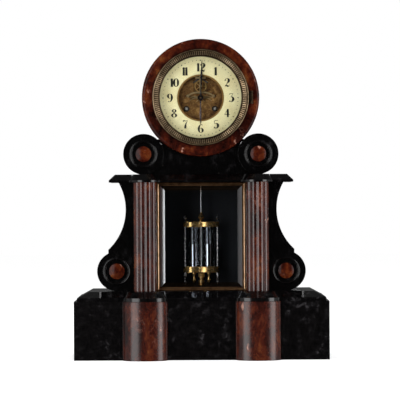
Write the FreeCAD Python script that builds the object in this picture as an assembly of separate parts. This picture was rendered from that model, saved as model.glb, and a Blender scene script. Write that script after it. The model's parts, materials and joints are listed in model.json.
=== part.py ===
import FreeCAD, Part
import math
import os

# Portico mantel clock in slate and red marble, with a round drum head, a dial with its escapement
# on show, and a pendulum with two vials of mercury behind a bevelled front glass.
# Millimetres. Z is up, the dial faces -Y, X runs to the viewer's right.
# The origin is on the ground, under the middle of the clock's outer box.

# Main sizes; depths are worked out from the movement outwards, and heights from the ground up
base_width = 396.0
base_height = 91.0
cap_height = 14.5
portico_height = 170.5
cornice_height = 12.2

# Fits and gaps that many pieces share
fit_gap = 0.05
cement_gap = 0.3
overrun = 2.0

# Base: slabs of slate, and two bowed blocks of red marble in front
slab_thickness = 14.0
bottom_thickness = 12.0
block_width = 69.5
block_bow = 20.0

# Base cap: an upright bead, then a slope up to the top, both stepping out over the red blocks
cap_bead_height = 5.5
cap_ledge = 4.7
cap_bead_step = 1.2
cap_top_setback = 22.5
cap_bow_rise = 19.5
cap_bow_foot_inset = 1.75
cap_bow_top_inset = 6.75

# Portico: scroll consoles at the sides, red reeded pilasters in front of them
portico_setback = 45.0
portico_back_setback = 10.0
portico_side = 128.0
scroll_radius = 31.0
scroll_inset = 11.8
console_step_reach = 13.3
console_step_height = 65.0
console_waist_inset = 14.2
console_waist_drop = 45.0
console_top_inset = 3.1
pilaster_overlap = 0.25
pilaster_width = 35.5
pilaster_depth = 30.0
pilaster_bow = 10.5
pilaster_reeds = 4
reed_rise = 1.5

# Cornice: an upright fascia, then a slope in towards the top
cornice_end = 14.6
cornice_fascia_height = 3.0
cornice_slope_setback = 9.4
cornice_overhang = 13.0
cornice_back_overhang = 3.0
cornice_bow_rise = 23.5
cornice_bow_side = 7.25
cornice_bow_slope = 4.5

# Turned faces of the scrolls and rolls: a raised ring, a sunk ring and a red dome in it
ring_radius = 20.3
ring_width = 3.4
ring_rise = 1.5
sunk_radius = 17.6
sunk_depth = 3.0
dome_radius = 12.2
dome_height = 5.4

# Front glass and its brass frame
frame_strip = 5.7
frame_depth = 6.0
frame_lip = 3.0
frame_recess = 0.5
glass_rebate = 2.2
glass_edge = 2.5
glass_raise = 2.3
glass_bevel = 7.0

# Rear door: an iron plate on two pivot pins
door_thickness = 3.0
door_margin = 0.5
door_pin_radius = 1.5
door_pin_length = 4.0
door_pin_inset = 4.0
door_knob_radius = 4.0
door_knob_length = 7.0
door_knob_inset = 12.0

# Head block and rolls
roll_radius = 31.8
roll_proud = 8.0
roll_drum_gap = 4.073
head_block_setback = 50.0
head_block_height = 55.3
head_back_setback = 15.0

# Drum
drum_lift = 29.8
drum_ring_width = 18.0
drum_ring_depth = 12.0
drum_ring_round = 5.0
drum_ring_proud = 2.0
drum_setback = 33.0
drum_wall = 14.0

# Slot through cornice, head block and drum for the pendulum rod
slot_half_width = 14.0
slot_half_depth = 13.0

# Bezel seat, fixed in the drum ring, with two straps that tie it to the rear ring
seat_gap = 0.4
seat_wall = 2.0
seat_flange_overlap = 1.5
seat_flange_thickness = 1.2
seat_ledge_width = 11.6
seat_ledge_thickness = 1.5
strap_clearance = 13.0
strap_width = 12.0
strap_thickness = 1.5
lug_half_height = 5.0
lug_thickness = 2.5
lug_overlap = 5.0
strap_end_size = 8.0
strap_end_depth = 6.0
strap_screw_radius = 1.6
strap_screw_head_radius = 3.2
strap_screw_head = 1.6
strap_screw_length = 13.0

# Bezel: a hinged ring with an outer bead and a milled slope
bezel_overlap = 2.0
bezel_width = 12.4
bezel_depth = 8.4
bezel_gap = 0.2
bezel_bead = 3.4
bezel_bead_height = 6.2
bezel_valley_height = 5.2
bezel_lip = 2.0
bezel_lip_drop = 0.6
bezel_glass_seat = 2.7
bezel_glass_thickness = 2.2
bezel_lip_thickness = 1.6

# Hinges of bezel and rear cover
hinge_radius = 2.2
hinge_pin_radius = 0.9
hinge_knuckle_half = 5.6
hinge_outer_half = 10.0
hinge_gap = 0.3
hinge_reach = 4.0
cover_hinge_reach = 3.5

# Rear ring and its round cover
rear_ring_overlap = 4.0
rear_ring_thickness = 2.0
cover_clearance = 6.0
cover_overlap = 4.0
cover_thickness = 1.4
cover_knob_inset = 10.0
cover_knob_radius = 3.0
cover_knob_length = 5.0

# Dial: enamel chapter ring round a sunk gilt centre
chapter_thickness = 1.5
recess_rim_radius = 36.5
recess_rim_width = 2.0
recess_rim_proud = 0.7
recess_depth = 9.0
recess_plate_thickness = 1.0
winding_hole_radius = 4.2
dial_foot_radius = 2.0
dial_foot_circle = 30.0
dial_foot_angles = (20.0, 160.0, 270.0)

# Movement plates
plate_radius = 49.0
plate_thickness = 2.5
plate_spacing = 33.5
pillar_radius = 3.0
pillar_inset = 5.0
pillar_angles = (5.0, 60.0, 120.0, 175.0, 270.0)
seat_to_plate = 20.0

# Gear teeth, as shares of the module and of the tooth pitch
wheel_addendum_share = 0.75
wheel_dedendum_share = 1.25
wheel_tooth_share = 0.42
wheel_tip_share = 0.16
pinion_addendum_share = 0.42
pinion_dedendum_share = 1.3
pinion_tooth_share = 0.35
pinion_tip_share = 0.2
tooth_shoulder_share = 0.55
tooth_taper_share = 0.2
wheel_rim_share = 0.82
wheel_hub_share = 0.24
wheel_spoke_share = 0.11
spoke_count = 5

# Going train, from the barrel to the escape wheel
barrel_teeth = 72
barrel_module = 0.58
intermediate_pinion_leaves = 12
intermediate_teeth = 72
intermediate_module = 0.46
centre_pinion_leaves = 9
centre_teeth = 80
centre_module = 0.4
third_pinion_leaves = 8
third_teeth = 90
third_module = 0.3
escape_pinion_leaves = 8
escape_teeth = 30
strike_barrel_module = 0.5
winding_x = 22.3
winding_drop = 16.7
escape_rise = 18.4
anchor_rise = 32.0
barrel_drum_radius = 16.5
barrel_wall = 1.2
barrel_front = 2.5
barrel_wheel_thickness = 2.5
barrel_length = 22.0
winding_arbor_radius = 2.4
winding_square = 3.4
winding_square_length = 9.0
winding_shoulder = 8.0
wheel_thickness = 1.1
arbor_radius = 1.1
fine_arbor_radius = 0.78
intermediate_pinion_front = 1.5
intermediate_pinion_length = 5.0
intermediate_wheel_back = 7.8
centre_pinion_back = 8.5
centre_pinion_length = 2.7
centre_wheel_back = 2.8
third_wheel_back = 5.2
third_pinion_back = 3.5
third_pinion_length = 2.7
escape_pinion_back = 6.0
escape_pinion_length = 2.6

# Motion work between front plate and dial
cannon_leaves = 12
minute_wheel_teeth = 36
cannon_module = 0.5
minute_pinion_leaves = 10
hour_wheel_teeth = 40
hour_module = 0.48
cannon_bore_wall = 0.55
hour_pipe_wall = 0.65
cannon_front = 0.5
cannon_tooth_start = 2.0
cannon_tooth_length = 2.2
minute_wheel_start = 2.4
minute_wheel_thickness = 1.4
minute_pinion_end = 8.0
hour_wheel_start = 6.2
hour_wheel_thickness = 1.4
minute_stud_radius = 0.8
minute_stud_length = 9.0

# Hands
hour_hand_plane = 24.6
minute_hand_plane = 27.0
hand_thickness = 0.7
hand_boss_thickness = 1.0
hour_boss_radius = 4.6
minute_boss_radius = 3.9
hour_hand_length = 42.0
minute_hand_length = 59.0
hand_root_width = 2.6
hand_belly_width = 3.2
hand_tip_width = 0.8
hand_belly_share = 0.62
hand_tail_length = 9.0
hand_collet_radius = 2.7
hand_collet_thickness = 1.3
minute_hand_angle = 2.5
hour_hand_angle = 180.2

# Escapement in the sunk dial centre
escape_wheel_plane = 17.4
escape_wheel_thickness = 1.0
escape_tip_radius = 11.0
escape_tooth_height = 1.8
escape_rim_width = 1.4
escape_spoke_width = 1.0
escape_lean_share = 0.35
pallet_angle = 63.0
pallet_radius = 0.8
pallet_clearance = 0.65
anchor_plane = 19.3
anchor_thickness = 1.2
anchor_hub_radius = 2.4
anchor_arm_width = 2.0
bridge_plane = 21.4
bridge_thickness = 1.4
bridge_stem_width = 3.0
bridge_foot_x = 20.0
bridge_foot_rise = 3.0
bridge_foot_radius = 2.2
bridge_arch_rise = 8.0
bridge_arm_width = 2.6
bridge_arm_belly = 2.4
bridge_pivot_radius = 2.4
bridge_head_x = 6.5
bridge_head_rise = 31.5
bridge_head_foot_radius = 1.6
arbor_clearance = 0.8

# Crutch, suspension and pendulum; a piece's rise is its height above the base cap
pendulum_gap = 6.5
crutch_back_gap = 0.5
crutch_thickness = 2.0
crutch_collar_radius = 3.0
crutch_arm_width = 2.4
crutch_drop = 36.0
crutch_prong_width = 1.5
crutch_prong_height = 3.0
crutch_prong_reach = 2.0
cock_width = 12.0
cock_foot_height = 10.0
cock_foot_thickness = 3.0
cock_foot_rise = 4.0
cock_cheek_front = 3.3
cock_cheek_thickness = 1.5
cock_cheek_gap = 4.0
cock_cheek_width = 6.0
cock_cheek_drop = 3.0
cock_bridge_height = 4.0
suspension_pin_radius = 0.8
suspension_block_width = 3.0
suspension_block_depth = 3.2
suspension_block_height = 6.0
suspension_strip_thickness = 0.25
suspension_strip_length = 8.0
suspension_foot_height = 5.0
rod_radius = 1.5
rod_knop_radius = 5.2
rod_knop_height = 15.0
rod_knop_neck = 2.6
bob_half_width = 28.75
bob_depth = 19.6
upper_band_rise = 99.2
upper_band_height = 8.4
lower_band_rise = 26.3
lower_band_height = 9.7
column_x = 26.0
column_radius = 1.6
column_bead_radius = 2.7
column_top_rise = 119.1
column_bottom_rise = 5.5
vial_x = 11.8
vial_radius = 9.5
vial_wall = 1.2
vial_socket_floor = 3.0
vial_socket_roof = 2.1
vial_end_gap = 0.3
mercury_gap = 0.1
mercury_rise = 71.8
band_screw_radius = 2.4
band_screw_rise = 1.0
vial_finial_radius = 2.8
vial_finial_rise = 8.5
nut_radius = 4.9
nut_neck_radius = 2.8
nut_top_gap = 0.3
nut_upper_height = 8.2
nut_neck_height = 2.6
nut_rise = 4.9
nut_floor = 2.4

# Strike: bell on the back plate's post, hammer on its own arbor
bell_x = -14.0
bell_drop = 16.0
bell_radius = 34.0
bell_front = 15.5
bell_height = 16.0
bell_wall = 1.6
bell_crown_radius = 6.0
bell_post_radius = 3.0
bell_post_tip_radius = 1.4
bell_post_tip_length = 2.6
bell_back_gap = 5.0
hammer_x = -44.0
hammer_drop = 13.0
hammer_arbor_radius = 1.2
hammer_head_radius = 3.5
hammer_head_length = 10.0
hammer_head_angle = 225.0
hammer_gap = 0.8
hammer_arm_width = 2.6
hammer_arm_thickness = 2.0
hammer_arm_back = 11.5

# Places worked out from the sizes above
along_y = FreeCAD.Vector(0, 1, 0)
along_z = FreeCAD.Vector(0, 0, 1)
movement_depth = seat_to_plate + 2 * plate_thickness + plate_spacing
bell_room = bell_front + bell_height + bell_back_gap
base_depth = drum_setback + drum_ring_depth + movement_depth + bell_room + portico_back_setback
front_y = (block_bow - base_depth) / 2
back_y = front_y + base_depth
portico_front = front_y + portico_setback
portico_back = back_y - portico_back_setback
drum_front = front_y + drum_setback
shell_front = drum_front + drum_ring_depth
head_front = front_y + head_block_setback
head_back = back_y - head_back_setback
roll_front = head_front - roll_proud
chapter_back = shell_front
plate_front = chapter_back + seat_to_plate
plate_back = plate_front + plate_thickness
rear_plate_front = plate_back + plate_spacing
rear_plate_back = rear_plate_front + plate_thickness
pendulum_y = rear_plate_back + pendulum_gap

half_base = base_width / 2
chamber_half_width = half_base - portico_side
pilaster_x = chamber_half_width + pilaster_width / 2 - pilaster_overlap
block_x = pilaster_x
cap_bow_foot_half = block_width / 2 - cap_bow_foot_inset
cap_bow_top_half = block_width / 2 - cap_bow_top_inset
scroll_x = half_base - cap_top_setback - scroll_inset - scroll_radius
console_step_half = scroll_x + console_step_reach
console_waist_half = scroll_x - console_waist_inset
console_top_half = scroll_x - console_top_inset
cornice_half_width = console_top_half + cornice_end
cornice_bow_foot_half = pilaster_width / 2 + cornice_bow_side
cornice_bow_top_half = cornice_bow_foot_half - cornice_bow_slope

strap_x = plate_radius + strap_clearance
pillar_circle = plate_radius - pillar_inset
seat_ledge_bore = strap_x
seat_radius = seat_ledge_bore + seat_ledge_width
drum_ring_bore = seat_radius + seat_gap
seat_flange_radius = drum_ring_bore + seat_flange_overlap
bezel_radius = drum_ring_bore + bezel_overlap
bezel_bore = bezel_radius - bezel_width
bezel_hinge_x = bezel_radius + hinge_reach
drum_radius = drum_ring_bore + drum_ring_width
drum_shell_radius = drum_radius - drum_ring_proud
shell_bore = drum_shell_radius - drum_wall
rear_ring_radius = shell_bore + rear_ring_overlap
cover_radius = strap_x - cover_clearance
rear_ring_bore = cover_radius - cover_overlap
cover_hinge_x = cover_radius + cover_hinge_reach
cover_knob_x = cover_radius - cover_knob_inset

cap_top = base_height + cap_height
portico_top = cap_top + portico_height
cornice_top = portico_top + cornice_height
scroll_z = cap_top + scroll_radius
roll_z = cornice_top + roll_radius
drum_z = cornice_top + drum_lift + drum_shell_radius
roll_to_drum = drum_shell_radius + roll_radius + roll_drum_gap
roll_x = math.sqrt(roll_to_drum ** 2 - (drum_z - roll_z) ** 2)
recess_plate_front = chapter_back - chapter_thickness + recess_depth
recess_plate_back = recess_plate_front + recess_plate_thickness
winding_z = drum_z - winding_drop
escape_z = drum_z + escape_rise
anchor_z = drum_z + anchor_rise
nut_bottom = cap_top + nut_rise
column_bottom = cap_top + column_bottom_rise
column_top = cap_top + column_top_rise
vial_finial_bottom = cap_top + vial_finial_rise
lower_band_bottom = cap_top + lower_band_rise
upper_band_bottom = cap_top + upper_band_rise
mercury_level = cap_top + mercury_rise


# Plain solids

def box(x0, x1, y0, y1, z0, z1):
    return Part.makeBox(x1 - x0, y1 - y0, z1 - z0, FreeCAD.Vector(x0, y0, z0))


def rod_y(radius, y0, y1, x, z):
    return Part.makeCylinder(radius, y1 - y0, FreeCAD.Vector(x, y0, z), along_y)


def rod_z(radius, z0, z1, x, y):
    return Part.makeCylinder(radius, z1 - z0, FreeCAD.Vector(x, y, z0), along_z)


def tube_y(outer, inner, y0, y1, x, z):
    return rod_y(outer, y0, y1, x, z).cut(rod_y(inner, y0 - overrun, y1 + overrun, x, z))


def joined(first, *others):
    return first.fuse(list(others)).removeSplitter()


def turned_y(profile, x, z):
    # profile is a closed outline of (radius, y) points, turned about the line along Y through (x, z)
    points = [FreeCAD.Vector(x + r, y, z) for r, y in profile]
    face = Part.Face(Part.makePolygon(points + points[:1]))
    return face.revolve(FreeCAD.Vector(x, 0, z), along_y, 360)


def turned_z(profile, x, y):
    # profile is a closed outline of (radius, z) points, turned about the upright line through (x, y)
    points = [FreeCAD.Vector(x + r, y, z) for r, z in profile]
    face = Part.Face(Part.makePolygon(points + points[:1]))
    return face.revolve(FreeCAD.Vector(x, y, 0), along_z, 360)


def plate_xz(points, y0, y1):
    # an outline of (x, z) points, made y1 - y0 thick
    corners = [FreeCAD.Vector(x, y0, z) for x, z in points]
    face = Part.Face(Part.makePolygon(corners + corners[:1]))
    return face.extrude(along_y * (y1 - y0))


def line(a, b):
    return Part.LineSegment(a, b).toShape()


def arc(a, middle, b):
    return Part.Arc(a, middle, b).toShape()


def mirrored_x(shape):
    return shape.mirror(FreeCAD.Vector(0, 0, 0), FreeCAD.Vector(1, 0, 0))


def on_circle(radius, degrees):
    return radius * math.cos(math.radians(degrees)), radius * math.sin(math.radians(degrees))


def bar(start, end, width, y0, y1):
    # a straight flat bar between two (x, z) points
    dx, dz = end[0] - start[0], end[1] - start[1]
    length = math.hypot(dx, dz)
    sx, sz = -dz / length * width / 2, dx / length * width / 2
    corners = [
        (start[0] + sx, start[1] + sz),
        (end[0] + sx, end[1] + sz),
        (end[0] - sx, end[1] - sz),
        (start[0] - sx, start[1] - sz),
    ]
    return plate_xz(corners, y0, y1)


# Bowed outlines, shared by blocks, cap and cornice

def quarter_ellipse(start, corner, end):
    curve = Part.BezierCurve()
    curve.setPoles([start, corner, end])
    curve.setWeight(2, math.sqrt(0.5))
    return curve.toShape()


def bow_edges(x, y, half, rise, z):
    # a half ellipse that bows towards the front, from left to right
    left = FreeCAD.Vector(x - half, y, z)
    right = FreeCAD.Vector(x + half, y, z)
    nose = FreeCAD.Vector(x, y - rise, z)
    first = quarter_ellipse(left, FreeCAD.Vector(x - half, y - rise, z), nose)
    second = quarter_ellipse(nose, FreeCAD.Vector(x + half, y - rise, z), right)
    return [first, second]


def breakfront_wire(half_width, front, back, bow_x, bow_half, bow_rise, z):
    # a rectangle whose front steps out in two bows
    left_back = FreeCAD.Vector(-half_width, back, z)
    left_front = FreeCAD.Vector(-half_width, front, z)
    right_front = FreeCAD.Vector(half_width, front, z)
    right_back = FreeCAD.Vector(half_width, back, z)
    edges = [line(left_back, left_front)]
    edges.append(line(left_front, FreeCAD.Vector(-bow_x - bow_half, front, z)))
    edges += bow_edges(-bow_x, front, bow_half, bow_rise, z)
    edges.append(line(FreeCAD.Vector(bow_half - bow_x, front, z), FreeCAD.Vector(bow_x - bow_half, front, z)))
    edges += bow_edges(bow_x, front, bow_half, bow_rise, z)
    edges.append(line(FreeCAD.Vector(bow_x + bow_half, front, z), right_front))
    edges.append(line(right_front, right_back))
    edges.append(line(right_back, left_back))
    return Part.Wire(edges)


def between(lower, upper):
    return Part.makeLoft([lower, upper], True, True)


# Gear outlines

def tooth_points(teeth, module, addendum, dedendum, tooth, tip, phase):
    pitch_radius = teeth * module / 2
    root_radius = pitch_radius - dedendum * module
    tip_radius = pitch_radius + addendum * module
    shoulder_radius = pitch_radius + addendum * module * tooth_shoulder_share
    pitch_angle = 2 * math.pi / teeth
    foot_half = pitch_angle * tooth / 2
    tip_half = pitch_angle * tip / 2
    shoulder_half = foot_half + (tip_half - foot_half) * tooth_taper_share
    flank = [(root_radius, foot_half), (pitch_radius, foot_half)]
    flank += [(shoulder_radius, shoulder_half), (tip_radius, tip_half)]
    shape = [(r, -a) for r, a in flank] + [(r, a) for r, a in reversed(flank)]
    points = []
    for k in range(teeth):
        middle = phase + k * pitch_angle
        points += [(r * math.cos(middle + a), r * math.sin(middle + a)) for r, a in shape]
    return points


def wheel_points(teeth, module, phase):
    return tooth_points(teeth, module, wheel_addendum_share, wheel_dedendum_share,
                        wheel_tooth_share, wheel_tip_share, phase)


def pinion_points(leaves, module, phase):
    return tooth_points(leaves, module, pinion_addendum_share, pinion_dedendum_share,
                        pinion_tooth_share, pinion_tip_share, phase)


def window_wire(inner, outer, spoke, k, count, x, y, z):
    # one opening between two spokes of a wheel
    start = 2 * math.pi * k / count
    stop = 2 * math.pi * (k + 1) / count
    inner_start, inner_stop = start + spoke / inner / 2, stop - spoke / inner / 2
    outer_start, outer_stop = start + spoke / outer / 2, stop - spoke / outer / 2

    def place(radius, angle):
        return FreeCAD.Vector(x + radius * math.cos(angle), y, z + radius * math.sin(angle))

    middle = (start + stop) / 2
    a, b = place(inner, inner_start), place(inner, inner_stop)
    c, d = place(outer, outer_stop), place(outer, outer_start)
    return Part.Wire([
        arc(a, place(inner, middle), b),
        line(b, c),
        arc(c, place(outer, middle), d),
        line(d, a),
    ])


def toothed_disc(points, y0, y1, x, z, windows=None):
    corners = [FreeCAD.Vector(x + px, y0, z + pz) for px, pz in points]
    outline = Part.makePolygon(corners + corners[:1])
    face = Part.Face([outline] + (windows or []))
    return face.extrude(along_y * (y1 - y0))


def crossed_wheel(teeth, module, phase, y0, y1, x, z):
    # a thin wheel with openings between its spokes
    radius = teeth * module / 2
    windows = []
    for k in range(spoke_count):
        windows.append(window_wire(
            radius * wheel_hub_share, radius * wheel_rim_share, radius * wheel_spoke_share,
            k, spoke_count, x, y0, z,
        ))
    return toothed_disc(wheel_points(teeth, module, phase), y0, y1, x, z, windows)


def meshed_phase(phase, teeth, other_teeth, place, other_place):
    # the angle that puts the other gear's tooth into this gear's gap
    toward = math.atan2(other_place[1] - place[1], other_place[0] - place[0])
    turned = (phase - toward) * teeth / other_teeth
    return toward + math.pi + math.pi / other_teeth - turned


def meeting_point(start, start_reach, end, end_reach, side):
    # the point at two given distances from two others; side 1 is to the left of the line between them
    dx, dz = end[0] - start[0], end[1] - start[1]
    span = math.hypot(dx, dz)
    along = (start_reach ** 2 - end_reach ** 2 + span ** 2) / (2 * span)
    out = math.sqrt(start_reach ** 2 - along ** 2) * side
    ux, uz = dx / span, dz / span
    return start[0] + ux * along - uz * out, start[1] + uz * along + ux * out


centre_place = (0, drum_z)
escape_place = (0, escape_z)
anchor_place = (0, anchor_z)
going_place = (winding_x, winding_z)
strike_place = (-winding_x, winding_z)
hammer_place = (hammer_x, drum_z - hammer_drop)
bell_place = (bell_x, drum_z - bell_drop)
third_reach = (centre_teeth + third_pinion_leaves) * centre_module / 2
escape_reach = (third_teeth + escape_pinion_leaves) * third_module / 2
third_place = meeting_point(centre_place, third_reach, escape_place, escape_reach, 1)
barrel_reach = (barrel_teeth + intermediate_pinion_leaves) * barrel_module / 2
centre_reach = (intermediate_teeth + centre_pinion_leaves) * intermediate_module / 2
intermediate_place = meeting_point(centre_place, centre_reach, going_place, barrel_reach, 1)
motion_reach = (cannon_leaves + minute_wheel_teeth) * cannon_module / 2
minute_wheel_place = (0, drum_z - motion_reach)


# Base

def make_base_front():
    return box(-half_base, half_base, front_y, front_y + slab_thickness, 0, base_height)


def make_base_carcass():
    inner = half_base - slab_thickness
    front = front_y + slab_thickness
    back = back_y - slab_thickness
    left = box(-half_base, -inner, front, back_y, 0, base_height)
    right = box(inner, half_base, front, back_y, 0, base_height)
    rear = box(-inner, inner, back, back_y, 0, base_height)
    bottom = box(-inner, inner, front, back, 0, bottom_thickness)
    return Part.makeCompound([left, right, rear, bottom])


def make_base_block(side):
    half = block_width / 2
    x = side * block_x
    edges = bow_edges(x, front_y, half, block_bow, 0)
    edges.append(line(FreeCAD.Vector(x + half, front_y, 0), FreeCAD.Vector(x - half, front_y, 0)))
    return Part.Face(Part.Wire(edges)).extrude(along_z * base_height)


def cap_wire(setback, bow_half, z):
    return breakfront_wire(half_base - setback, front_y + setback, back_y, block_x, bow_half, cap_bow_rise, z)


def make_base_cap():
    bead_top = base_height + cap_bead_height
    bead = between(cap_wire(cap_ledge, cap_bow_foot_half, base_height),
                   cap_wire(cap_ledge, cap_bow_foot_half, bead_top))
    slope = between(cap_wire(cap_ledge + cap_bead_step, cap_bow_foot_half - cap_bead_step, bead_top),
                    cap_wire(cap_top_setback, cap_bow_top_half, cap_top))
    door_hole = rod_z(door_pin_radius + fit_gap, cap_top - door_pin_length - fit_gap, cap_top + overrun,
                      chamber_half_width - door_pin_inset, portico_back - door_thickness / 2)
    return joined(bead, slope).cut(door_hole)


# Portico

def turned_cutter(x, z, y):
    # what a turned face loses: the sunk ring's room
    return rod_y(sunk_radius, y - overrun, y + sunk_depth, x, z)


def turned_ring(x, z, y):
    # the raised ring, half round
    inner = ring_radius - ring_width / 2
    outer = ring_radius + ring_width / 2
    edges = [
        arc(FreeCAD.Vector(x + inner, y, z), FreeCAD.Vector(x + ring_radius, y - ring_rise, z),
            FreeCAD.Vector(x + outer, y, z)),
        line(FreeCAD.Vector(x + outer, y, z), FreeCAD.Vector(x + outer, y + ring_rise, z)),
        line(FreeCAD.Vector(x + outer, y + ring_rise, z), FreeCAD.Vector(x + inner, y + ring_rise, z)),
        line(FreeCAD.Vector(x + inner, y + ring_rise, z), FreeCAD.Vector(x + inner, y, z)),
    ]
    return Part.Face(Part.Wire(edges)).revolve(FreeCAD.Vector(x, 0, z), along_y, 360)


def make_dome(x, z, y):
    # a red stone dome on a short foot in the sunk ring
    floor = y + sunk_depth
    shoulder = y
    top = FreeCAD.Vector(x, y - dome_height + sunk_depth, z)
    rim = FreeCAD.Vector(x + dome_radius, shoulder, z)
    rise = shoulder - top.y
    sphere = (dome_radius ** 2 + rise ** 2) / (2 * rise)
    turn = math.asin(dome_radius / sphere) / 2
    middle = FreeCAD.Vector(x + sphere * math.sin(turn), top.y + sphere * (1 - math.cos(turn)), z)
    foot = FreeCAD.Vector(x + dome_radius, floor, z)
    centre = FreeCAD.Vector(x, floor, z)
    edges = [arc(top, middle, rim), line(rim, foot), line(foot, centre), line(centre, top)]
    return Part.Face(Part.Wire(edges)).revolve(FreeCAD.Vector(x, 0, z), along_y, 360)


def make_console():
    # the right-hand one; the left is its mirror image
    y = portico_front
    step_z = cap_top + console_step_height
    dx = console_step_half - scroll_x
    step_foot = scroll_z + math.sqrt(scroll_radius ** 2 - dx ** 2)
    inner_bottom = FreeCAD.Vector(chamber_half_width, y, cap_top)
    scroll_bottom = FreeCAD.Vector(scroll_x, y, cap_top)
    scroll_side = FreeCAD.Vector(scroll_x + scroll_radius, y, scroll_z)
    scroll_end = FreeCAD.Vector(console_step_half, y, step_foot)
    step_top = FreeCAD.Vector(console_step_half, y, step_z)
    waist = FreeCAD.Vector(console_waist_half, y, portico_top - console_waist_drop)
    top = FreeCAD.Vector(console_top_half, y, portico_top)
    inner_top = FreeCAD.Vector(chamber_half_width, y, portico_top)
    edges = [
        line(inner_bottom, scroll_bottom),
        arc(scroll_bottom, scroll_side, scroll_end),
        line(scroll_end, step_top),
        arc(step_top, waist, top),
        line(top, inner_top),
        line(inner_top, inner_bottom),
    ]
    body = Part.Face(Part.Wire(edges)).extrude(along_y * (portico_back - y))
    body = body.cut(turned_cutter(scroll_x, scroll_z, y))
    return joined(body, turned_ring(scroll_x, scroll_z, y))


def make_pilaster(side):
    # reeds side by side along a bowed front
    x = side * pilaster_x
    half = pilaster_width / 2
    side_y = portico_front - pilaster_depth + pilaster_bow + reed_rise
    radius = (half ** 2 + pilaster_bow ** 2) / (2 * pilaster_bow)
    sweep = math.asin(half / radius)
    centre_y = side_y - pilaster_bow + radius
    step = 2 * sweep / pilaster_reeds

    def on_bow(r, angle, z):
        return FreeCAD.Vector(x + r * math.sin(angle), centre_y - r * math.cos(angle), z)

    z = cap_top
    edges = [line(FreeCAD.Vector(x - half, portico_front, z), FreeCAD.Vector(x - half, side_y, z))]
    for k in range(pilaster_reeds):
        start = -sweep + k * step
        crest = on_bow(radius + reed_rise, start + step / 2, z)
        edges.append(arc(on_bow(radius, start, z), crest, on_bow(radius, start + step, z)))
    edges.append(line(FreeCAD.Vector(x + half, side_y, z), FreeCAD.Vector(x + half, portico_front, z)))
    edges.append(line(FreeCAD.Vector(x + half, portico_front, z), FreeCAD.Vector(x - half, portico_front, z)))
    return Part.Face(Part.Wire(edges)).extrude(along_z * portico_height)


def make_glass_frame():
    outer = chamber_half_width
    aperture = outer - frame_strip
    rebate = aperture + glass_rebate
    y = portico_front + frame_recess
    body = box(-outer, outer, y, y + frame_depth, cap_top, portico_top)
    hole = box(-aperture, aperture, y - overrun, y + frame_depth + overrun,
               cap_top + frame_strip, portico_top - frame_strip)
    step = box(-rebate, rebate, y + frame_lip, y + frame_depth + overrun,
               cap_top + frame_strip - glass_rebate, portico_top - frame_strip + glass_rebate)
    return body.cut(hole).cut(step)


def rectangle_wire(half, bottom, top, y):
    corners = [(-half, bottom), (half, bottom), (half, top), (-half, top)]
    points = [FreeCAD.Vector(x, y, z) for x, z in corners]
    return Part.makePolygon(points + points[:1])


def make_front_glass():
    y = portico_front + frame_recess + frame_lip
    aperture = chamber_half_width - frame_strip - cement_gap
    edge = aperture + glass_rebate
    bottom = cap_top + frame_strip + cement_gap
    top = portico_top - frame_strip - cement_gap
    slab = box(-edge, edge, y, y + glass_edge, bottom - glass_rebate, top + glass_rebate)
    raised = between(rectangle_wire(aperture, bottom, top, y),
                     rectangle_wire(aperture - glass_bevel, bottom + glass_bevel, top - glass_bevel,
                                    y - glass_raise))
    return joined(slab, raised)


def make_rear_door():
    half = chamber_half_width - door_margin
    front = portico_back - door_thickness
    middle = portico_back - door_thickness / 2
    pin_x = chamber_half_width - door_pin_inset
    plate = box(-half, half, front, portico_back, cap_top + door_margin, portico_top - door_margin)
    lower = rod_z(door_pin_radius, cap_top - door_pin_length, cap_top + door_margin + overrun, pin_x, middle)
    upper = rod_z(door_pin_radius, portico_top - door_margin - overrun, portico_top + door_pin_length,
                  pin_x, middle)
    knob = rod_y(door_knob_radius, portico_back - door_thickness / 2, portico_back + door_knob_length,
                 door_knob_inset - half, (cap_top + portico_top) / 2)
    return joined(plate, lower, upper, knob)


# Cornice, head block and rolls

def rod_slot(z0, z1):
    return box(-slot_half_width, slot_half_width, pendulum_y - slot_half_depth, pendulum_y + slot_half_depth,
               z0, z1)


def cornice_wire(setback, bow_half, z):
    front = portico_front - cornice_overhang + setback
    back = portico_back + cornice_back_overhang
    return breakfront_wire(cornice_half_width - setback, front, back, pilaster_x, bow_half, cornice_bow_rise, z)


def make_cornice():
    fascia_top = portico_top + cornice_fascia_height
    fascia = between(cornice_wire(0, cornice_bow_foot_half, portico_top),
                     cornice_wire(0, cornice_bow_foot_half, fascia_top))
    slope = between(cornice_wire(0, cornice_bow_foot_half, fascia_top),
                    cornice_wire(cornice_slope_setback, cornice_bow_top_half, cornice_top))
    door_hole = rod_z(door_pin_radius + fit_gap, portico_top - overrun, portico_top + door_pin_length + fit_gap,
                      chamber_half_width - door_pin_inset, portico_back - door_thickness / 2)
    slot = rod_slot(portico_top - overrun, cornice_top + overrun)
    return joined(fascia, slope).cut(door_hole).cut(slot)


def make_head_block():
    top = cornice_top + head_block_height
    body = box(-roll_x, roll_x, head_front, head_back, cornice_top, top)
    body = body.cut(rod_y(drum_shell_radius + cement_gap, head_front - overrun, head_back + overrun, 0, drum_z))
    for side in (-1, 1):
        body = body.cut(rod_y(roll_radius + cement_gap, head_front - overrun, head_back + overrun,
                              side * roll_x, roll_z))
    return body.cut(rod_slot(cornice_top - overrun, top + overrun))


def make_roll(side):
    x = side * roll_x
    body = rod_y(roll_radius, roll_front, head_back, x, roll_z)
    body = body.cut(turned_cutter(x, roll_z, roll_front))
    return joined(body, turned_ring(x, roll_z, roll_front))


# Drum

def make_drum_shell():
    shell = tube_y(drum_shell_radius, shell_bore, shell_front, portico_back, 0, drum_z)
    return shell.cut(rod_slot(drum_z - drum_shell_radius - overrun, drum_z - shell_bore + drum_wall))


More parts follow.
